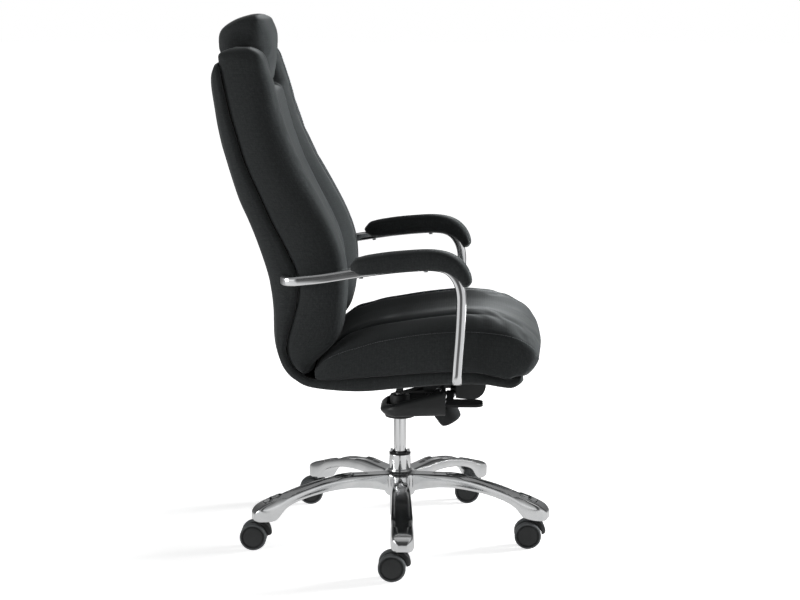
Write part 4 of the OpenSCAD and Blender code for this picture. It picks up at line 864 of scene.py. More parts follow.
# The seat cushion: forward, heights of its side seam and its crest, half width; then its underside
SEAT = np.array([
    [-0.236, 0.045, 0.05, 0.488],
    [-0.226, 0.052, 0.057, 0.494],
    [-0.212, 0.068, 0.0735, 0.499],
    [-0.19, 0.082, 0.096, 0.503],
    [-0.165, 0.093, 0.121, 0.504],
    [-0.14, 0.102, 0.1375, 0.505],
    [-0.114, 0.109, 0.143, 0.507],
    [-0.06, 0.125, 0.156, 0.508],
    [-0.004, 0.136, 0.1645, 0.509],
    [0.05, 0.145, 0.173, 0.51],
    [0.106, 0.1515, 0.1805, 0.51],
    [0.15, 0.1545, 0.1855, 0.51],
    [0.188, 0.1565, 0.189, 0.51],
    [0.243, 0.155, 0.189, 0.51],
    [0.298, 0.149, 0.182, 0.507],
    [0.336, 0.141, 0.169, 0.502],
    [0.365, 0.128, 0.153, 0.495],
    [0.385, 0.115, 0.139, 0.486],
    [0.4, 0.101, 0.124, 0.475],
    [0.4135, 0.083, 0.1, 0.452]])
SEAT_BOTTOM = np.array([[-0.268, 0.03], [-0.226, 0.017], [-0.114, 0.0215], [-0.004, 0.0305], [0.106, 0.039],
                        [0.188, 0.041], [0.243, 0.0375], [0.298, 0.027], [0.336, 0.021], [0.365, 0.027],
                        [0.385, 0.028], [0.4, 0.027], [0.4135, 0.0265]])
SEAT_REAR, SEAT_NOSE = -0.235, 0.4125   # the cushion's ends, as shares of the body's depth
SEAT_DIP = 14.0       # how far its middle lies under its crest, mm
SEAT_TUCK = 11.0
NOSE_ROUND = 27.0     # how far the nose runs back towards its foot, mm


def seat_shape(a, b, c):
    share = 0.6 * b + 0.4 * (0.5 - 0.5 * np.cos(np.pi * b))
    u_share = SEAT_REAR + (SEAT_NOSE - SEAT_REAR) * share
    row = read_table(SEAT, u_share)
    foot = SEAT_FOOT + read_table(SEAT_BOTTOM, u_share)[:, 0] * BODY_H + 1.0
    seam, crest, half = SEAT_FOOT + row[:, 0] * BODY_H, SEAT_FOOT + row[:, 1] * BODY_H, row[:, 2] * BODY_W
    dip = np.minimum(SEAT_DIP, (crest - seam) * 0.5)
    bow = np.maximum(0, u_share - 0.3) * 0.16 * BODY_D
    x_share = 2 * a - 1
    away = np.abs(x_share)
    section = np.array([[0, 0, 0.7, 0, 1.0], [0.2, 0.2, 0.62, 0, 0.96], [0.38, 0.38, 0.32, 0, 0.86],
                        [0.48, 0.48, 0.16, 0, 0.76], [0.56, 0.56, 0.22, 0.01, 0.66], [0.62, 0.62, 0.42, 0.03, 0.58],
                        [0.67, 0.68, 0.2, 0.07, 0.5], [0.74, 0.755, 0.05, 0.2, 0.4],
                        [0.84, 0.87, 0.0, 0.55, 0.2], [0.93, 0.955, 0.0, 0.96, 0.06], [1.0, 0.985, 0.0, 1.3, 0.0]])
    level = read_table(section, away)
    face_z = crest - dip * level[:, 1] - (crest - seam) * level[:, 2]
    face_x = half * level[:, 0]
    through = 1 - (1 - c) ** 1.7
    side_deep = np.maximum(seam - foot, 1)
    tuck = np.minimum(SEAT_TUCK, side_deep * 0.5)
    side_x = half * (0.985 + 0.016 * np.sin(np.pi * through)) - quarter((1 - through) * side_deep, tuck)
    x = np.sign(x_share) * np.where(away == 1, side_x,
                                    face_x * (1 - through) + (half * 0.985 - tuck) * away * through)
    z = face_z * (1 - through) + foot * through
    u = u_share * BODY_D + bow * level[:, 3] * (1 - through * 0.6)
    u = u - NOSE_ROUND * ease(b, 0.72, 1.0) * through ** 1.6
    path = np.linspace(0, 1, 300)
    places = SEAT_REAR + (SEAT_NOSE - SEAT_REAR) * path
    run = run_along(np.column_stack([read_table(SEAT, places)[:, 1] * BODY_H, places * BODY_D]))
    return np.stack([x, -u, z], 1), np.interp(share, path, run), face_z - z


SEAT_SEAM = 0.93      # seam between the seat's top and its side
CREASE = 0.62         # crease beside the seat's middle panel, which runs out towards the nose
SEAT_HALF = 0.51      # the cushion's half width, as a share of the body's width


def seat_cushion():
    piece = soft_skin("seat_cushion_cloth", (56, 60, 12), seat_shape)
    a, b, c = shares_of(piece)
    away = np.abs(2 * a - 1)
    held = np.where((c > 0.75) | (b < 0.03), 1.0, 0.0)
    held = np.maximum(held, ((away > 0.955) & (away < 1) & (c == 0)) * 1.0)
    swell(piece, held, 3.0)
    refine(piece)
    a, b, c = shares_of(piece)
    for seam, depth, width, last in ((SEAT_SEAM, 1.2, 2.6, 0.99), (CREASE, 3.6, 4.5, 0.8)):
        off = (np.abs(2 * a - 1) - seam) * SEAT_HALF * BODY_W
        off = np.where((c < 0.05) & (b > 0.02) & (b < last), off, NO_SEAM)
        sew(piece, off, depth * (1 - ease(b, last - 0.3, last)), width)
    return piece


# Arms: the middle line of the bar, forward and height
ARM = np.array([[-0.285, 0.3], [-0.21, 0.308], [-0.128, 0.3205], [-0.04, 0.333], [0.04, 0.341], [0.105, 0.3435],
                [0.147, 0.334], [0.173, 0.308], [0.1855, 0.272], [0.1865, 0.225], [0.183, 0.15], [0.178, 0.085],
                [0.1755, 0.045]])
ARM_REAR, ARM_FRONT = (-0.3215, 0.2995), (0.1755, 0.0205)
ARM_X, BAR_W, BAR_T = 285.0, 21.0, 12.0
PAD_W, PAD_RISE, PAD_FIRST, PAD_LAST = 62.0, 35.0, 6.3, 22.8


def arm_line(at):
    """Points of the bar's middle line in mm, read at numbers of its thirds"""
    rows = ARM * [BODY_D, BODY_H] + [0, SEAT_FOOT]
    at = np.asarray(at, float) / 3
    i = np.clip(np.floor(at).astype(int), 0, len(rows) - 2)
    t = (at - i)[:, None]
    p = [rows[np.clip(i + k, 0, len(rows) - 1)] for k in (-1, 0, 1, 2)]
    return (2 * p[1] + (p[2] - p[0]) * t + (2 * p[0] - 5 * p[1] + 4 * p[2] - p[3]) * t ** 2
            + (3 * p[1] - p[0] - 3 * p[2] + p[3]) * t ** 3) / 2


def arm_bar(name):
    """Flat-oval bar of the right arm: its section is drawn along the side view, and both ends are bent inwards"""
    clear_selection()
    line = arm_line(np.linspace(0, 36, 73))
    steps = np.diff(line, axis=0)
    angle = np.arctan2(steps[:, 1], steps[:, 0])
    angle = np.concatenate([[angle[0]], (angle[:-1] + angle[1:]) / 2, [angle[-1]]])
    x = -ARM_X
    bpy.ops.mesh.primitive_circle_add(vertices=28, radius=BAR_T / 2 * MM, fill_type="NGON",
                                      location=(x * MM, -line[0][0] * MM, line[0][1] * MM),
                                      rotation=(math.radians(90), 0, 0))
    piece = settle(named(name))
    edit(piece)
    for sign in (1, -1):
        pick("VERT", lambda p, n: (p.z - line[0][1]) * sign > 0.01)
        bpy.ops.transform.translate(value=(0, 0, sign * (BAR_W - BAR_T) / 2 * MM))
    bpy.ops.mesh.select_mode(type="FACE")
    bpy.ops.mesh.select_all(action="SELECT")
    # transform.rotate turns the other way when no window is open
    bpy.ops.transform.rotate(value=angle[0], orient_axis="X",
                             center_override=(x * MM, -line[0][0] * MM, line[0][1] * MM))
    for number in range(1, len(line)):
        by = line[number] - line[number - 1]
        bpy.ops.mesh.extrude_region_move(TRANSFORM_OT_translate={"value": (0, -by[0] * MM, by[1] * MM)})
        bpy.ops.transform.rotate(value=angle[number] - angle[number - 1], orient_axis="X",
                                 center_override=(x * MM, -line[number][0] * MM, line[number][1] * MM))
    for end, tip in ((0, ARM_REAR), (-1, ARM_FRONT)):
        tip = np.array([tip[0] * BODY_D, SEAT_FOOT + tip[1] * BODY_H])
        reach = np.linalg.norm(tip - line[end])
        way = (tip - line[end]) / reach
        here = Vector((x, -line[end][0], line[end][1]))
        away = Vector((0, -way[0], way[1]))
        pick("FACE", lambda p, n: (p - here).length < 1.5 and abs(n.dot(away)) > 0.9)
        centre = (here + Vector((reach, 0, 0))) * MM
        wide = Vector((1, 0, 0)).cross(away)
        bpy.ops.mesh.spin(steps=14, angle=math.radians(90), center=centre, axis=wide)
        tip_x = -BODY_W / 2 - 0.6
        bpy.ops.mesh.extrude_region_move(
            TRANSFORM_OT_translate={"value": ((tip_x - (x + reach)) * MM, 0, 0)})
    outward()
    leave()
    return smooth(piece, 50)


# An arm pad along its length: underside and top over the bar, half width
PAD = np.array([[0, 0.3, 0.62, 0.28], [0.025, -0.02, 0.85, 0.4], [0.07, -0.14, 0.95, 0.47], [0.15, -0.2, 0.99, 0.5],
                [0.35, -0.22, 1, 0.5], [0.55, -0.22, 1, 0.5], [0.7, -0.17, 1, 0.5], [0.8, -0.08, 0.98, 0.5],
                [0.88, 0.04, 0.94, 0.49], [0.94, 0.14, 0.88, 0.47], [0.98, 0.2, 0.8, 0.42], [1, 0.24, 0.66, 0.33]])


def pad_shape(a, b, c):
    f = (1 - np.cos(np.pi * b)) / 2
    at = PAD_FIRST + (PAD_LAST - PAD_FIRST) * f
    line = arm_line(at)
    way = arm_line(at + 0.5) - arm_line(at - 0.5)
    way /= np.linalg.norm(way, axis=1, keepdims=True)
    row = read_table(PAD, f)
    low, top, half = row[:, 0] * PAD_RISE, row[:, 1] * PAD_RISE, row[:, 2] * PAD_W
    across, up = 2 * a - 1, 1 - 2 * c
    length, ring = round_off(across, up, 3.2)
    x = half * across / length
    rise = (top + low) / 2 + (top - low) / 2 * up / length
    dome = 4.0 * (1 - ring ** 2) * (1.0 * (b == 1) - (b == 0))
    # The underside rests on the bar
    bar = (c == 1) & (np.abs(x) < BAR_T / 2 + 2)
    rise = np.where(bar, np.maximum(rise, BAR_W / 2 + 0.5), rise)
    u = line[:, 0] - way[:, 1] * rise + way[:, 0] * dome
    z = line[:, 1] + way[:, 0] * rise + way[:, 1] * dome
    path = np.linspace(0, 1, 200)
    rail = arm_line(PAD_FIRST + (PAD_LAST - PAD_FIRST) * (1 - np.cos(np.pi * path)) / 2)
    run = run_along(rail)
    return np.stack([x - ARM_X, -u, z], 1), np.interp(b, path, run), top - rise


def arm_pad(name):
    piece = soft_skin(name, (16, 56, 12), pad_shape)
    _, b, c = shares_of(piece)
    swell(piece, np.where((c > 0.62) | (b < 0.02) | (b > 0.98), 1.0, 0.0), 2.0, 3.0)
    refine(piece)
    return piece


# Star base

LEGS = 5
LEG_TURN = 2.9
LEG_ANGLES = [-(180 - LEG_TURN + 72 * k) for k in range(LEGS)]
STEM_R = 324.5
TRAIL, WHEEL_R = 22, 30   # the axle's distance behind the stem and over the floor, mm
# Distance from the axis, heights of the top and the underside, half width, in mm
LEG_STATIONS = [[52, 149.8, 113, 18.2], [76, 150.7, 119, 19.5], [112, 152.5, 124, 20.6], [150, 150.6, 123.6, 21.6],
                [190, 144.2, 119.6, 22.6], [228, 134.6, 112.3, 23.6], [258, 125.6, 102.5, 24.5],
                [280, 118.4, 91, 25.2], [296, 113.2, 68, 25.9], [306, 110.4, 63.6, 26.4], [326, 103.6, 63.6, 26.6],
                [341, 94.6, 63.8, 22.2], [349.5, 84.4, 66, 12.5]]


def base_sector():
    """A fifth of the star base: a slice of the hub with one leg along +X"""
    hub = [(24.7, 158), (26.6, 158), (27.3, 156.6), (28.6, 152.4), (32.5, 150.2), (37.5, 149), (37.8, 140),
           (37.2, 122), (36.2, 108), (33.5, 97.5), (30, 96), (24.7, 96)]
    clear_selection()
    bpy.ops.mesh.primitive_circle_add(vertices=40, radius=hub[0][0] * MM, location=(0, 0, hub[0][1] * MM))
    piece = settle(named("base_sector"))
    edit(piece)
    pick("VERT", lambda p, n: math.degrees(abs(math.atan2(p.y, p.x))) > 37)
    bpy.ops.mesh.delete(type="VERT")
    bpy.ops.mesh.select_mode(type="EDGE")
    bpy.ops.mesh.select_all(action="SELECT")
    for (radius, height), (next_radius, next_height) in zip(hub, hub[1:]):
        bpy.ops.mesh.extrude_edges_move(TRANSFORM_OT_translate={"value": (0, 0, (next_height - height) * MM)})
        scale = next_radius / radius
        bpy.ops.transform.resize(value=(scale, scale, 1), center_override=(0, 0, next_height * MM))
    # The leg grows from the hub's wall
    pick("FACE", lambda p, n: p.xy.length > 34 and 108 < p.z < 149 and math.degrees(abs(math.atan2(p.y, p.x))) < 28)
    x, top, foot, half = 37.5, 149.0, 108.0, 37.5 * math.sin(math.radians(27))
    for next_x, next_top, next_foot, next_half in LEG_STATIONS:
        first = x == 37.5
        bpy.ops.mesh.extrude_region_move(TRANSFORM_OT_translate={"value": ((next_x - x) * MM, 0, 0)})
        if first:
            bpy.ops.transform.resize(value=(0, 1, 1), center_override=(next_x * MM, 0, 0))
        middle = (top + foot) / 2
        bpy.ops.transform.resize(value=(1, next_half / half, (next_top - next_foot) / (top - foot)),
                                 center_override=(next_x * MM, 0, middle * MM))
        bpy.ops.transform.translate(value=(0, 0, ((next_top + next_foot) / 2 - middle) * MM))
        x, top, foot, half = next_x, next_top, next_foot, next_half
    # The sides lean in towards the top, and the top is dished inside its rim, with a pointed start at the hub
    for share, narrow in ((0.93, 0.8), (0.7, 0.95)):
        for at, top, foot, half in LEG_STATIONS[1:-2]:
            low, high = (foot + (top - foot) * rise for rise in (share, 0.93))
            pick("VERT", lambda p, n: abs(p.x - at) < 0.5 and abs(p.y) > half * 0.5 and p.z > low
                 and (share > 0.9 or p.z < high))
            bpy.ops.transform.resize(value=(1, narrow, 1), center_override=(at * MM, 0, 0))
    bpy.ops.mesh.select_all(action="SELECT")
    bpy.ops.mesh.flip_normals()
    pick("FACE", lambda p, n: n.z > 0.5 and 90 < p.x < 324
         and abs(p.y) < min(3.6 + (p.x - 94) * 0.3, (336 - p.x) * 0.8))
    for wide, deep in ((2.0, 0), (1.0, -1.2), (1.4, -2.6), (2.6, -1.4)):
        bpy.ops.mesh.inset(thickness=wide * MM, depth=deep * MM, use_even_offset=False)
    leave()
    return piece


def star_base():
    sector = base_sector()
    slices = [sector] + [copy_of(sector, f"base_sector_{k}") for k in range(2, LEGS + 1)]
    for piece, angle in zip(slices, LEG_ANGLES):
        moved(piece, turn=(0, 0, angle))
    base = joined(slices, "star_base_casting")
    edit(base)
    bpy.ops.mesh.select_all(action="SELECT")
    bpy.ops.mesh.remove_doubles(threshold=0.0002)
    outward()
    leave()
    finish_with(base, "SUBSURF", levels=2, render_levels=2)
    hold(base)
    bpy.ops.object.shade_smooth()
    return base


# Column

def outer_tube():
    return smooth(turned("outer_tube_sleeve", [
        (22.4, 150), (22.4, 191.2), (23.0, 192.0), (24.0, 192.0), (24.4, 191.6), (24.5, 190.8), (24.5, 158.4),
        (24.3, 157.4), (23.4, 48), (22.6, 45.2), (5.1, 45.2), (5.1, 48), (20.4, 48), (22.2, 150)], 96))


# Casters

def wheel():
    """One wheel, its outer face towards -X, its axle on the X axis: rim with a recessed disc, then the tread"""
    rim = turned("wheel_rim", [(3.1, 7.2), (7, 7.2), (7.4, 7.7), (7.6, 20.4), (23.6, 20.4), (24.2, 8.4),
                               (25.6, 7.8), (25.9, 8.2), (25.9, 24.1), (25.4, 24.7), (24.7, 24.6), (24.2, 23.9),
                               (23.9, 22.6), (22.9, 22.3), (22.3, 22.7), (21.9, 23.4), (21.0, 23.7), (16, 23.9),
                               (8, 24.1), (0, 24.1)], 72)
    tread = turned("wheel_tread", [(25.95, 8.1), (28.6, 8.1), (29.5, 8.8), (29.95, 10.4), (29.98, 22.6), (29.5, 24.4),
                                   (28.6, 25.1), (27.4, 25.2), (26.6, 24.8), (25.95, 24.2), (25.95, 8.1)], 72)
    return smooth(rim, 35), smooth(tread, 35)


def hood():
    """The caster's hood over its web, the stem on the Z axis and the axle 22 mm behind, towards +Y"""
    cap = turned("hood_cap", [(0, 32), (17.4, 32), (18.4, 34), (18.5, 37), (18.5, 58.2), (17.7, 60.8), (15.8, 62.4),
                              (13.6, 62.8), (8, 62.8), (5.6, 62.8), (5.6, 40), (0, 40)], 64)
    bored(cap, rod("hood_reach", 41.1, (-40, 22, 30), (40, 22, 30), 128), "INTERSECT")
    bored(cap, rod("hood_clearing", 31.3, (-41, 22, 30), (41, 22, 30), 128))
    soften(cap, 1.2, 3, 30)
    web = block("hood_web", (-6.6, -11, 19), (6.6, 22, 58.2))
    edit(web)
    for place, way in (((0, 22, 20), (0, -0.414, -0.91)), ((0, 0, 30), (0, -0.737, -0.676)),
                       ((0, -5.5, 36), (0, -0.979, -0.203)), ((0, 22, 40), (0, 0.856, 0.517))):
        cut(place, way)
    leave()
    bored(web, rod("stem_clearing", 5.6, (0, 0, 36), (0, 0, 60)))
    eye = rod("hood_eye", 10, (-6.6, 22, 30), (6.6, 22, 30), 48)
    for part in (web, eye):
        bored(part, rod("axle_clearing", 3.05, (-8, 22, 30), (8, 22, 30), 32))
        soften(part, 0.8, 2, 30)
    return joined([cap, web, eye], "hood_cap")


# Mechanism

RIM_SLOPE, LEAN = math.tan(math.radians(15.4)), math.radians(30)
PAN_FOOT, PAN_REAR, PAN_FRONT, PAN_HALF, NECK_HALF = 288.0, 46.0, 104.0, 70.0, 54.0
PIVOT = (162.0, 366.0)
KNOB_FOOT = (116.25, 272.25)


def mechanism_bowl():
    """The cast bowl of the tilt mechanism, with its collar, its neck walls and the bosses of the lever pins"""
    bowl = block("mechanism_bowl", (-PAN_HALF, -PAN_FRONT, PAN_FOOT), (PAN_HALF, PAN_REAR, 380))
    edit(bowl)
    pick("VERT", lambda p, n: p.z < PAN_FOOT + 1 and p.y < 0)
    bpy.ops.transform.translate(value=(0, 0, 4 * MM))
    pick("EDGE", lambda p, n: abs(n.z) > 0.99 and p.y > PAN_REAR - 1)
    bpy.ops.mesh.bevel(offset=44 * MM, segments=9, affect="EDGES")
    pick("EDGE", lambda p, n: p.z < PAN_FOOT + 0.5 + (PAN_REAR - p.y) * 0.027 and p.y > 0.5 - PAN_FRONT)
    bpy.ops.mesh.bevel(offset=24 * MM, segments=7, affect="EDGES")
    cut((0, PAN_REAR, 306 + (31 - PAN_REAR) * RIM_SLOPE), (0, RIM_SLOPE, 1), close=False)
    for narrow, rise in ((0.985, 4.5), (0.965, 3.5), (0.94, 2.5), (0.93, 1.5)):
        bpy.ops.mesh.select_mode(type="EDGE")
        bpy.ops.mesh.select_non_manifold(extend=False, use_wire=False, use_multi_face=False,
                                         use_non_contiguous=False, use_verts=False)
        bpy.ops.mesh.extrude_edges_move(TRANSFORM_OT_translate={"value": (0, 0, rise * MM)})
        bpy.ops.transform.resize(value=(narrow, 1 - (1 - narrow) * 0.5, 1), center_override=(0, -PAN_FRONT * MM, 0))
    outward()
    leave()
    finish_with(bowl, "SOLIDIFY", thickness=5.4 * MM, offset=-1, use_even_offset=True)
    bored(bowl, block("front_window", (-NECK_HALF + 4, -PAN_FRONT - 9, 312), (NECK_HALF - 4, -PAN_FRONT + 20, 380)))
    # The floor rises over the knob between the bowl's sides
    floor, below = (0, -98.15, 303.6), (0, -math.sin(LEAN), -math.cos(LEAN))
    bay = block("knob_bay", (-45, -PAN_FRONT - 9, 280), (45, -71, 320))
    edit(bay)
    cut(floor, [-v for v in below])
    leave()
    bored(bowl, bay)
    soften(bowl, 2.2, 4, 38)
    sill = block("knob_floor", (-47, -PAN_FRONT, 284), (47, -77.5, 330))
    edit(sill)
    cut(floor, below)
    cut((0, floor[1], floor[2] + 5.8), [-v for v in below])
    leave()
    bored(sill, rod("screw_clearing", 4.6, (0, -116.25, 272.25), (0, -83.75, 328.5), 32))
    soften(sill, 0.6, 2, 30)
    collar = turned("column_collar", [
        (14.06, 279), (30.4, 279), (33, 279.8), (34.2, 281.6), (34.4, 285), (33.6, 287.2), (31.6, 288.4),
        (28.8, 291.6), (22.4, 293), (21.9, 330), (21, 331), (13.2, 331), (13.2, 316), (14.06, 316), (14.06, 279)], 80)
    smooth(collar, 35)
    bored(bowl, rod("column_clearing", 26, (0, 0, 280), (0, 0, 300), 64))
    parts = [bowl, collar, sill]
    for side in (-1, 1):
        low, high = sorted((side * (NECK_HALF - 4), side * NECK_HALF))
        wall = block("neck_wall", (low, -185, 300), (high, -100, 392))
        for rear, foot in ((-115, 340), (-101, 357)):
            shoulder = block("neck_shoulder", (low, -146, foot), (high, rear, 390))
            edit(shoulder)
            cut((0, -115, 371), (0, 0.36, 0.93))
            leave()
            parts.append(soften(shoulder, 0.8, 2, 30))
        edit(wall)
        for place, way in (((0, -100, 304.7), (0, -0.5, -0.866)), ((0, -112, 311.6), (0, -0.9, -0.44)),
                           ((0, -124, 336.3), (0, -0.153, -0.988)), ((0, -178.5, 349.5), (0, -0.9, -0.43)),
                           ((0, -142.2, 384), (0, 0.92, 0.39)), ((0, -124, 350), (0, 0.6, 0.8)),
                           ((0, -160, 386), (0, 0, 1)), ((0, -176, 382), (0, -0.8, 0.6))):
            cut(place, way)
        leave()
        bored(wall, rod("axle_clearing", 9.1, (low - 1, -PIVOT[0], PIVOT[1]), (high + 1, -PIVOT[0], PIVOT[1]), 48))
        parts.append(soften(wall, 0.8, 2, 30))
        boss = rod("pin_boss", 7, (side * 62, -98.5, 346.2), (side * 62, -106, 346.2), 40)
        bored(boss, rod("pin_clearing", 3.06, (side * 62, -97, 346.2), (side * 62, -108, 346.2), 32))
        parts.append(soften(boss, 0.7, 2, 30))
    return joined(parts, "mechanism_bowl")


def tension_knob():
    """The tension knob on its screw: a tapered grip with a rounded foot"""
    knob = turned("tension_knob_grip", [
        (0, -6), (15, -6), (20, -5.4), (23.6, -3.6), (25.8, -0.4), (26.7, 4), (28.1, 18), (29, 29.5), (28.9, 32.2),
        (27.8, 34.2), (25.6, 35), (5.2, 35), (4.5, 36), (4.5, 52.2), (3.9, 53), (0, 53)], 72)
    smooth(knob, 35)
    return moved(knob, (0, -KNOB_FOOT[0], KNOB_FOOT[1]), (-30, 0, 0))


WIRE_R, COIL_R = 1.7, 14.8
CUP_TOP, FOOT_TOP, BRACKET_LOW = 47, 56.8, 81   # heights on the knob's axis, mm


def spring_turns(name, low, high, turns):
    """Part of the tilt spring's coil, between two heights on the knob's axis: its wire is swept round by a screw"""
    clear_selection()
    bpy.ops.mesh.primitive_circle_add(vertices=16, radius=WIRE_R * MM, location=(COIL_R * MM, 0, low * MM),
                                      rotation=(math.radians(90), 0, 0))
    piece = settle(named(name))
    steps = int(turns * 48)
    finish_with(piece, "SCREW", axis="Z", angle=turns * 2 * math.pi, screw_offset=(high - low) * MM, steps=steps,
                render_steps=steps)
    edit(piece)
    bpy.ops.mesh.select_all(action="SELECT")
    bpy.ops.mesh.fill_holes(sides=0)
    outward()
    leave()
    return moved(smooth(piece, 50), (0, -KNOB_FOOT[0], KNOB_FOOT[1]), (-30, 0, 0))


# Dressing the CAD pieces that stay

def dress(names, material, width=0.0, segments=2):
    """Gives CAD pieces their finish, and rounds their edges by live modifiers"""
    for name in names:
        node = NODES[name]
        finish(node, material)
        if width:
            weld = node.modifiers.new("Weld", "WELD")
            weld.merge_threshold = 0.00002
            edge = node.modifiers.new("Edges", "BEVEL")
            edge.width, edge.segments = width * MM, segments
            edge.limit_method, edge.angle_limit = "ANGLE", math.radians(35)
            edge.use_clamp_overlap = True


def each(stem):
    return [f"{stem}_{k}" for k in range(1, 6)]


def build():
    cover = fit(refine(shell_cover()), "seat", ["shell_cover"], CLOTH)
    back = fit(back_cushion(), "seat", ["back_cushion"], CLOTH)
    seams = (seam_line(back_shape, WING_SEAM + 0.02, 0.08, 0.86)
             + seam_line(back_shape, PANEL_SEAM - 0.014, 0.12, 0.80))
    fit(stitches("back_seam_stitches", back, seams), "seat", material=THREAD)
    # A pale cord along each wing's ridge: piping, whose light thread is also a painted highlight for the ridge's lit
    # edge
    ridges = seam_line(back_shape, WING_SEAM, 0.1, 0.74)
    highlight_cord = stitches("back_ridge_highlight_cord", back, ridges, pitch=5.0, length=5.6, thick=1.9)
    fit(highlight_cord, "seat", material=THREAD)
    head = fit(headrest(), "seat", ["headrest"], CLOTH)
    seat = fit(seat_cushion(), "seat", ["seat_cushion"], CLOTH)
    rows = stitches("seat_seam_stitches", seat, seam_line(seat_shape, SEAT_SEAM + 0.012, 0.08, 0.97))
    fit(rows, "seat", material=THREAD)
    bar = arm_bar("arm_bar_right_tube")
    other = mirrored(bar, "arm_bar_left_tube")
    smooth(other, 50)
    fit(bar, "seat", ["arm_bar_right"], CHROME)
    fit(other, "seat", ["arm_bar_left"], CHROME)
    pad = arm_pad("arm_pad_right_cloth")
    pad_left = mirrored(pad, "arm_pad_left_cloth")
    fit(pad, "seat", ["arm_pad_right"], CLOTH)
    fit(pad_left, "seat", ["arm_pad_left"], CLOTH)
    fit(star_base(), "base", ["star_base"], ALUMINIUM)
    fit(outer_tube(), "base", ["outer_tube"], CHROME)
    fit(mechanism_bowl(), "mechanism", ["mechanism_pan"], COAT)
    fit(tension_knob(), "knob", ["tension_knob"], KNOB_PLASTIC)
    # The coil is built in two parts: its foot over the spring cup, and the rest up to the bracket
    foot = finish(spring_turns("tilt_spring_foot", CUP_TOP + 1.8, FOOT_TOP, 1), STEEL)
    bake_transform(foot)
    coil = finish(spring_turns("tilt_spring_coil", FOOT_TOP, BRACKET_LOW - 1.8, 2.5), STEEL)
    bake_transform(coil)
    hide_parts("tilt_spring")
    rim, tread = wheel()
    cap = hood()
    for k, angle in enumerate(LEG_ANGLES, 1):
        turn = math.radians(angle)
        stem = (STEM_R * math.cos(turn), STEM_R * math.sin(turn), 0)
        axle = (stem[0], stem[1] + TRAIL, WHEEL_R)
        for side, sign in (("right", -1), ("left", 1)):
            parts = [copy_of(rim, f"wheel_rim_{side}_{k}"), copy_of(tread, f"wheel_tread_{side}_{k}")]
            for part in parts:
                moved(part, axle, (0, 90 * sign, 0))
            body = f"wheel_{side}_{k}"
            fit(parts[0], body, [body], WHEEL_PLASTIC)
            fit(parts[1], body, material=TREAD)
        piece = moved(copy_of(cap, f"caster_cap_{k}"), stem)
        fit(piece, f"caster_{k}", [f"caster_hood_{k}"], BLACK_PLASTIC)
    for spare in (rim, tread, cap):
        bpy.data.objects.remove(spare)
    dress(["gas_cylinder"], GAS_TUBE, 0.6)
    dress(["piston_rod", "tube_clip", "thrust_bearing", "valve_button", "lever_pins", "bracket_bolts",
           "bracket_nuts", "arm_studs", "pad_screws", "spring_cup", "bushing_locks"] + each("caster_stem")
          + each("caster_axle"), STEEL, 0.3)
    dress(["guide_bushing", "pivot_bushes"], BLACK_PLASTIC, 0.8)
    dress(["height_lever", "lock_lever"], BLACK_PLASTIC, 1.2, 3)
    dress(["seat_bracket", "pivot_axle"], COAT, 0.9)
    dress(["shell_board"], PLY)


# Stage

WHITE = (1, 1, 1, 1)
SKY_LIGHT = 0.72
FLOOR_GLOW, FAR_GLOW = 0.73, 1.05
# Brightness by height: of the light, and of what polished metal mirrors
DOME = ((0.0, 1.0), (0.12, 0.8), (0.25, 0.3), (0.5, 0.08), (1.0, 0.04))
BACKDROP = ((0.0, 1.0), (0.04, 0.9), (0.13, 0.55), (0.35, 0.36), (0.7, 0.22), (1.0, 0.3))
# By compass direction, from ahead of the camera to behind it: white sheets, with dark gaps between them
SHEETS = ((0.0, 0.08), (0.04, 0.1), (0.06, 1.0), (0.38, 1.0), (0.44, 0.5), (0.54, 0.45), (0.6, 0.2), (0.8, 0.2),
          (0.88, 0.6), (1.0, 0.7))
# Name, place and aim in metres, size, power
LAMPS = (("softbox_top", (-0.5, -0.6, 2.9), (0, 0, 0.6), 2.2, 4),
         ("softbox_front", (1.0, -3.0, 0.62), (0, 0.2, 0.95), 1.0, 270),
         ("softbox_rear", (-1.5, 2.7, 1.0), (0, 0.1, 0.7), 1.4, 34))
HIDDEN_LAMP = "softbox_front"   # metal doesn't mirror it
CAMERA_PLACE = (-4.0715, -0.1422, 1.276)
CAMERA_LENS, CAMERA_SENSOR = 82.35, 36
CAMERA_DOWN, CAMERA_ASIDE = 10.127, 2   # degrees


def mirrored_sheets(nodes, x, y):
    """What polished metal mirrors around the chair, by compass direction"""
    turn = nodes.maths("ABSOLUTE", nodes.maths("ARCTAN2", y, nodes.maths("MULTIPLY", x, -1.0)))
    return nodes.ramp(nodes.maths("DIVIDE", turn, math.pi), SHEETS, (1, 1.005, 1.01))


def sky():
    """White to the camera. Its light is dimmer overhead and towards +X, and metal mirrors the sheets"""
    world = bpy.data.worlds.new("studio")
    bpy.context.scene.world = world
    world.use_nodes = True
    w = Nodes(world.node_tree)
    x, y, z = w.node("ShaderNodeSeparateXYZ", {"Vector": w.place.outputs["Generated"]}).outputs
    dimmed = w.mix(1.0, w.ramp(z, DOME), w.spread(x, 1.0, 0.25, -0.4, 0.9), "MULTIPLY")
    sheets = w.mix(1.0, w.ramp(z, BACKDROP), mirrored_sheets(w, x, y), "MULTIPLY")
    light = w.node("ShaderNodeBackground", {"Color": dimmed, "Strength": SKY_LIGHT}).outputs[0]
    mirrored_sky = w.node("ShaderNodeBackground", {"Color": sheets}).outputs[0]
    seen = w.node("ShaderNodeBackground", {"Color": WHITE}).outputs[0]
    rays = w.node("ShaderNodeLightPath").outputs
    straight = w.maths("MAXIMUM", rays["Is Camera Ray"], rays["Is Transmission Ray"])
    shown = w.mix_shaders(straight, w.mix_shaders(rays["Is Glossy Ray"], light, mirrored_sky), seen)
    w.feed(w.tree.nodes["World Output"].inputs["Surface"], shown)


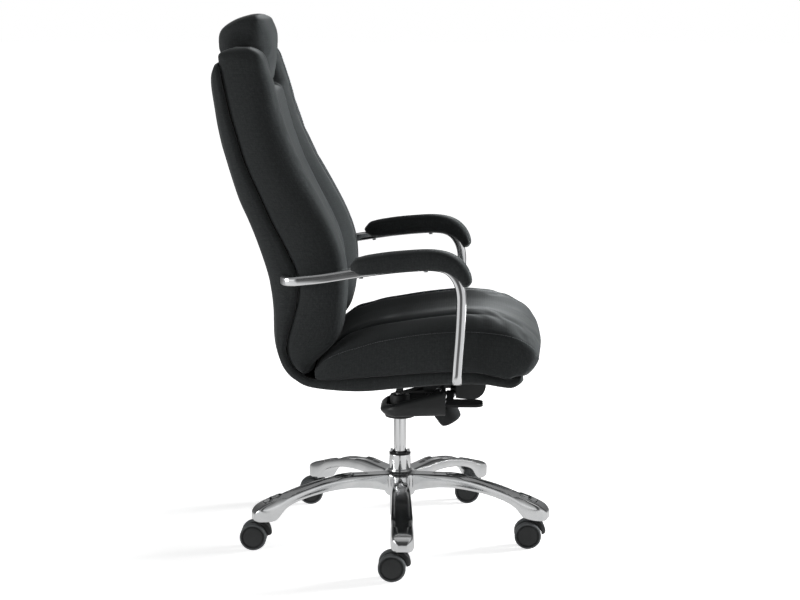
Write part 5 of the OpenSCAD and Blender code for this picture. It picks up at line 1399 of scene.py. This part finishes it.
def ground():
    """A pale floor that keeps the shadows, glows white far from the chair, and is a sheet where metal mirrors it"""
    clear_selection()
    bpy.ops.mesh.primitive_plane_add(size=60, location=(0, 0, 0))
    floor = named("studio_floor")
    f = Finish("studio_floor")
    f.set(Base_Color=f.mix(f.noise(3, 2.0), (0.86, 0.86, 0.86), (0.88, 0.88, 0.88)), Roughness=0.9,
          Specular_IOR_Level=0.1)
    plain, place = f.shader.outputs["BSDF"], f.place.outputs["Object"]
    far = f.node("ShaderNodeVectorMath", {0: place}, operation="LENGTH").outputs["Value"]
    x, y, _ = f.node("ShaderNodeSeparateXYZ", {"Vector": place}).outputs
    glow = f.node("ShaderNodeEmission", {"Color": WHITE, "Strength": f.spread(far, FLOOR_GLOW, FAR_GLOW, 0.5, 1.5)})
    glowing = f.node("ShaderNodeAddShader", {0: plain, 1: glow.outputs[0]}).outputs[0]
    sheets = f.mix(f.spread(far, 0.0, 1.0, 0.5, 1.3), (0.9, 0.9, 0.9), mirrored_sheets(f, x, y))
    sheet = f.node("ShaderNodeEmission", {"Color": sheets, "Strength": 0.84}).outputs[0]
    rays = f.node("ShaderNodeLightPath").outputs
    straight = f.maths("MAXIMUM", rays["Is Camera Ray"], rays["Is Transmission Ray"])
    mirrored_floor = f.mix_shaders(rays["Is Glossy Ray"], plain, f.mix_shaders(0.25, sheet, plain))
    f.feed(f.tree.nodes["Material Output"].inputs["Surface"], f.mix_shaders(straight, mirrored_floor, glowing))
    finish(floor, f.material)


def studio():
    sky()
    ground()
    for name, place, aim, size, power in LAMPS:
        bpy.ops.object.light_add(type="AREA", location=place)
        lamp = bpy.context.active_object
        lamp.name = name
        lamp.data.size = size
        lamp.data.energy = power
        lamp.visible_glossy = name != HIDDEN_LAMP
        lamp.rotation_euler = (Vector(aim) - Vector(place)).to_track_quat("-Z", "Y").to_euler()
    bpy.context.scene.view_settings.view_transform = "Standard"


def camera():
    """The camera as fitted to the photo"""
    bpy.ops.object.camera_add(location=CAMERA_PLACE)
    view = bpy.context.active_object
    view.name = "photo_camera"
    view.data.lens, view.data.sensor_width = CAMERA_LENS, CAMERA_SENSOR
    down, aside = math.radians(CAMERA_DOWN), math.radians(CAMERA_ASIDE)
    way = Vector((math.cos(aside) * math.cos(down), math.sin(aside) * math.cos(down), -math.sin(down)))
    view.rotation_euler = way.to_track_quat("-Z", "Y").to_euler()
    view.data.clip_start, view.data.clip_end = 0.1, 100
    bpy.context.scene.camera = view


camera()
studio()
build()
